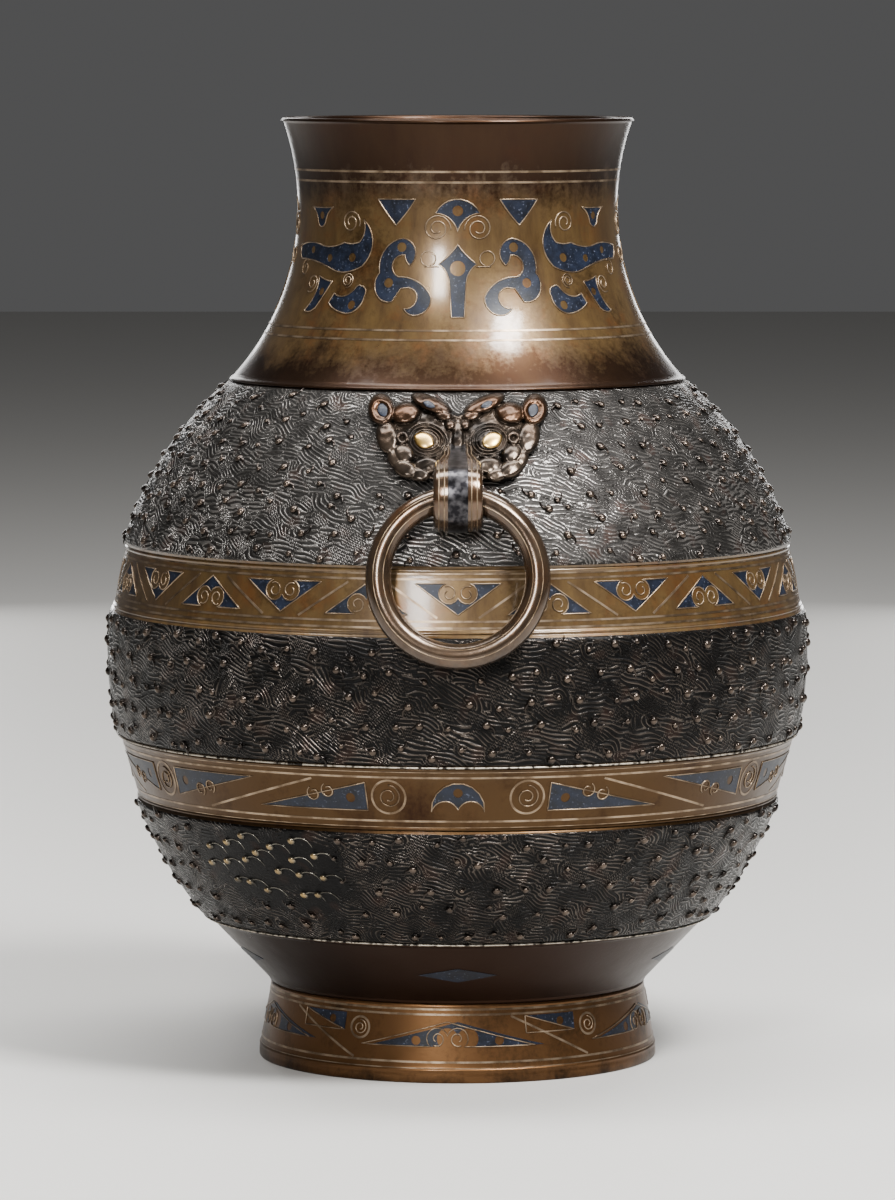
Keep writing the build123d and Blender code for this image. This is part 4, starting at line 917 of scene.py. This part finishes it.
lean = radians(ring_lean)
hang = np.array([0.0, -sin(lean), -cos(lean)])
face = np.array([0.0, -cos(lean), sin(lean)])
level = np.array([1.0, 0.0, 0.0])
ring_middle = np.array([0.0, pivot_y, pivot_z]) + ring_r * hang


def hoop(reach, height, tube_r, columns=192, sides=40):
    """Hoop about the ring's axis: circles of the tube's radius set round a circle of that reach and height."""
    turn = np.arange(columns)[:, None, None] * 2 * pi / columns
    a = np.arange(sides)[None, :, None] * 2 * pi / sides
    out = np.cos(turn) * hang + np.sin(turn) * level
    points = ring_middle + out * (reach + tube_r * np.cos(a)) + face * (height + tube_r * np.sin(a))
    return points.reshape(-1, 3), grid_quads(columns, sides, True, True)


ring_wire_r = 0.2
ring_wire_reach = ring_tube_r - ring_wire_r
ring_body = hoop(ring_r, 0.0, ring_tube_r - 0.06)
ring_lines = joined([hoop(ring_r + ring_wire_reach * sin(tilt), ring_wire_reach * cos(tilt), ring_wire_r, sides=8)
                     for tilt in (radians(24), radians(-24))])
pair("ring_{}_hoop", "ring_{}", ring_body, ring_bronze, "ring_bronze", "ring_{}")
pair("ring_{}_lines", "ring_wires_{}", ring_lines, pale_wire, "wire", "ring_{}")

# Camera, floor and light. The camera stands where the photograph's fitted view puts it; the floor is plain and
# pale, and soft boxes light the vessel from the right, above, the front and both rear edges.

lens_px, photo_rows, look_down = 6443, 1200, 4.987
camera = add_object("camera", bpy.data.cameras.new("camera"))
camera.data.sensor_fit = "VERTICAL"
camera.data.sensor_height = 24.0
camera.data.lens = 24.0 * lens_px / photo_rows
camera.data.clip_end = 20.0
camera.location = (-0.0034, -2.1893, 0.3467)
camera.rotation_euler = (radians(90 - look_down), 0, 0)
bpy.context.scene.camera = camera

reach = 6.0
floor_corners = [(-reach, -reach, 0), (reach, -reach, 0), (reach, reach, 0), (-reach, reach, 0)]
floor_mesh = bpy.data.meshes.new("floor")
floor_mesh.from_pydata(floor_corners, [], [(0, 1, 2, 3)])
floor = add_object("floor", floor_mesh)
floor_paint, _, shader, _ = new_material("pale_floor")
fill(shader, {"Base Color": srgb("#B4B2AE"), "Roughness": 0.6})
floor_mesh.materials.append(floor_paint)

world = bpy.data.worlds.new("studio")
bpy.context.scene.world = world
world.use_nodes = True
fill(world.node_tree.nodes["Background"], {"Color": srgb("#D5D5D6"), "Strength": 0.13})


def soft_light(name, azimuth, elevation, distance, width, height, power, aim_z=0.18):
    """Soft box at an azimuth from the camera's side, to the right, and an elevation, aimed at the vessel."""
    lamp = bpy.data.lights.new(name, "AREA")
    lamp.shape = "RECTANGLE"
    lamp.size, lamp.size_y, lamp.energy = width, height, power
    box = add_object(name, lamp)
    a, e = radians(azimuth), radians(elevation)
    box.location = (distance * cos(e) * sin(a), -distance * cos(e) * cos(a), aim_z + distance * sin(e))
    box.rotation_euler = (radians(90) - e, 0, a)


soft_light("key", 38, 50, 1.7, 0.4, 0.5, 84)
soft_light("overhead", 180, 86, 1.4, 1.5, 0.4, 44)
soft_light("front", -13, 27, 2.3, 0.26, 0.8, 52)
soft_light("left_edge", -166, 12, 1.7, 0.2, 0.9, 4.5)
soft_light("right_edge", 166, 12, 1.7, 0.2, 0.9, 4.5)
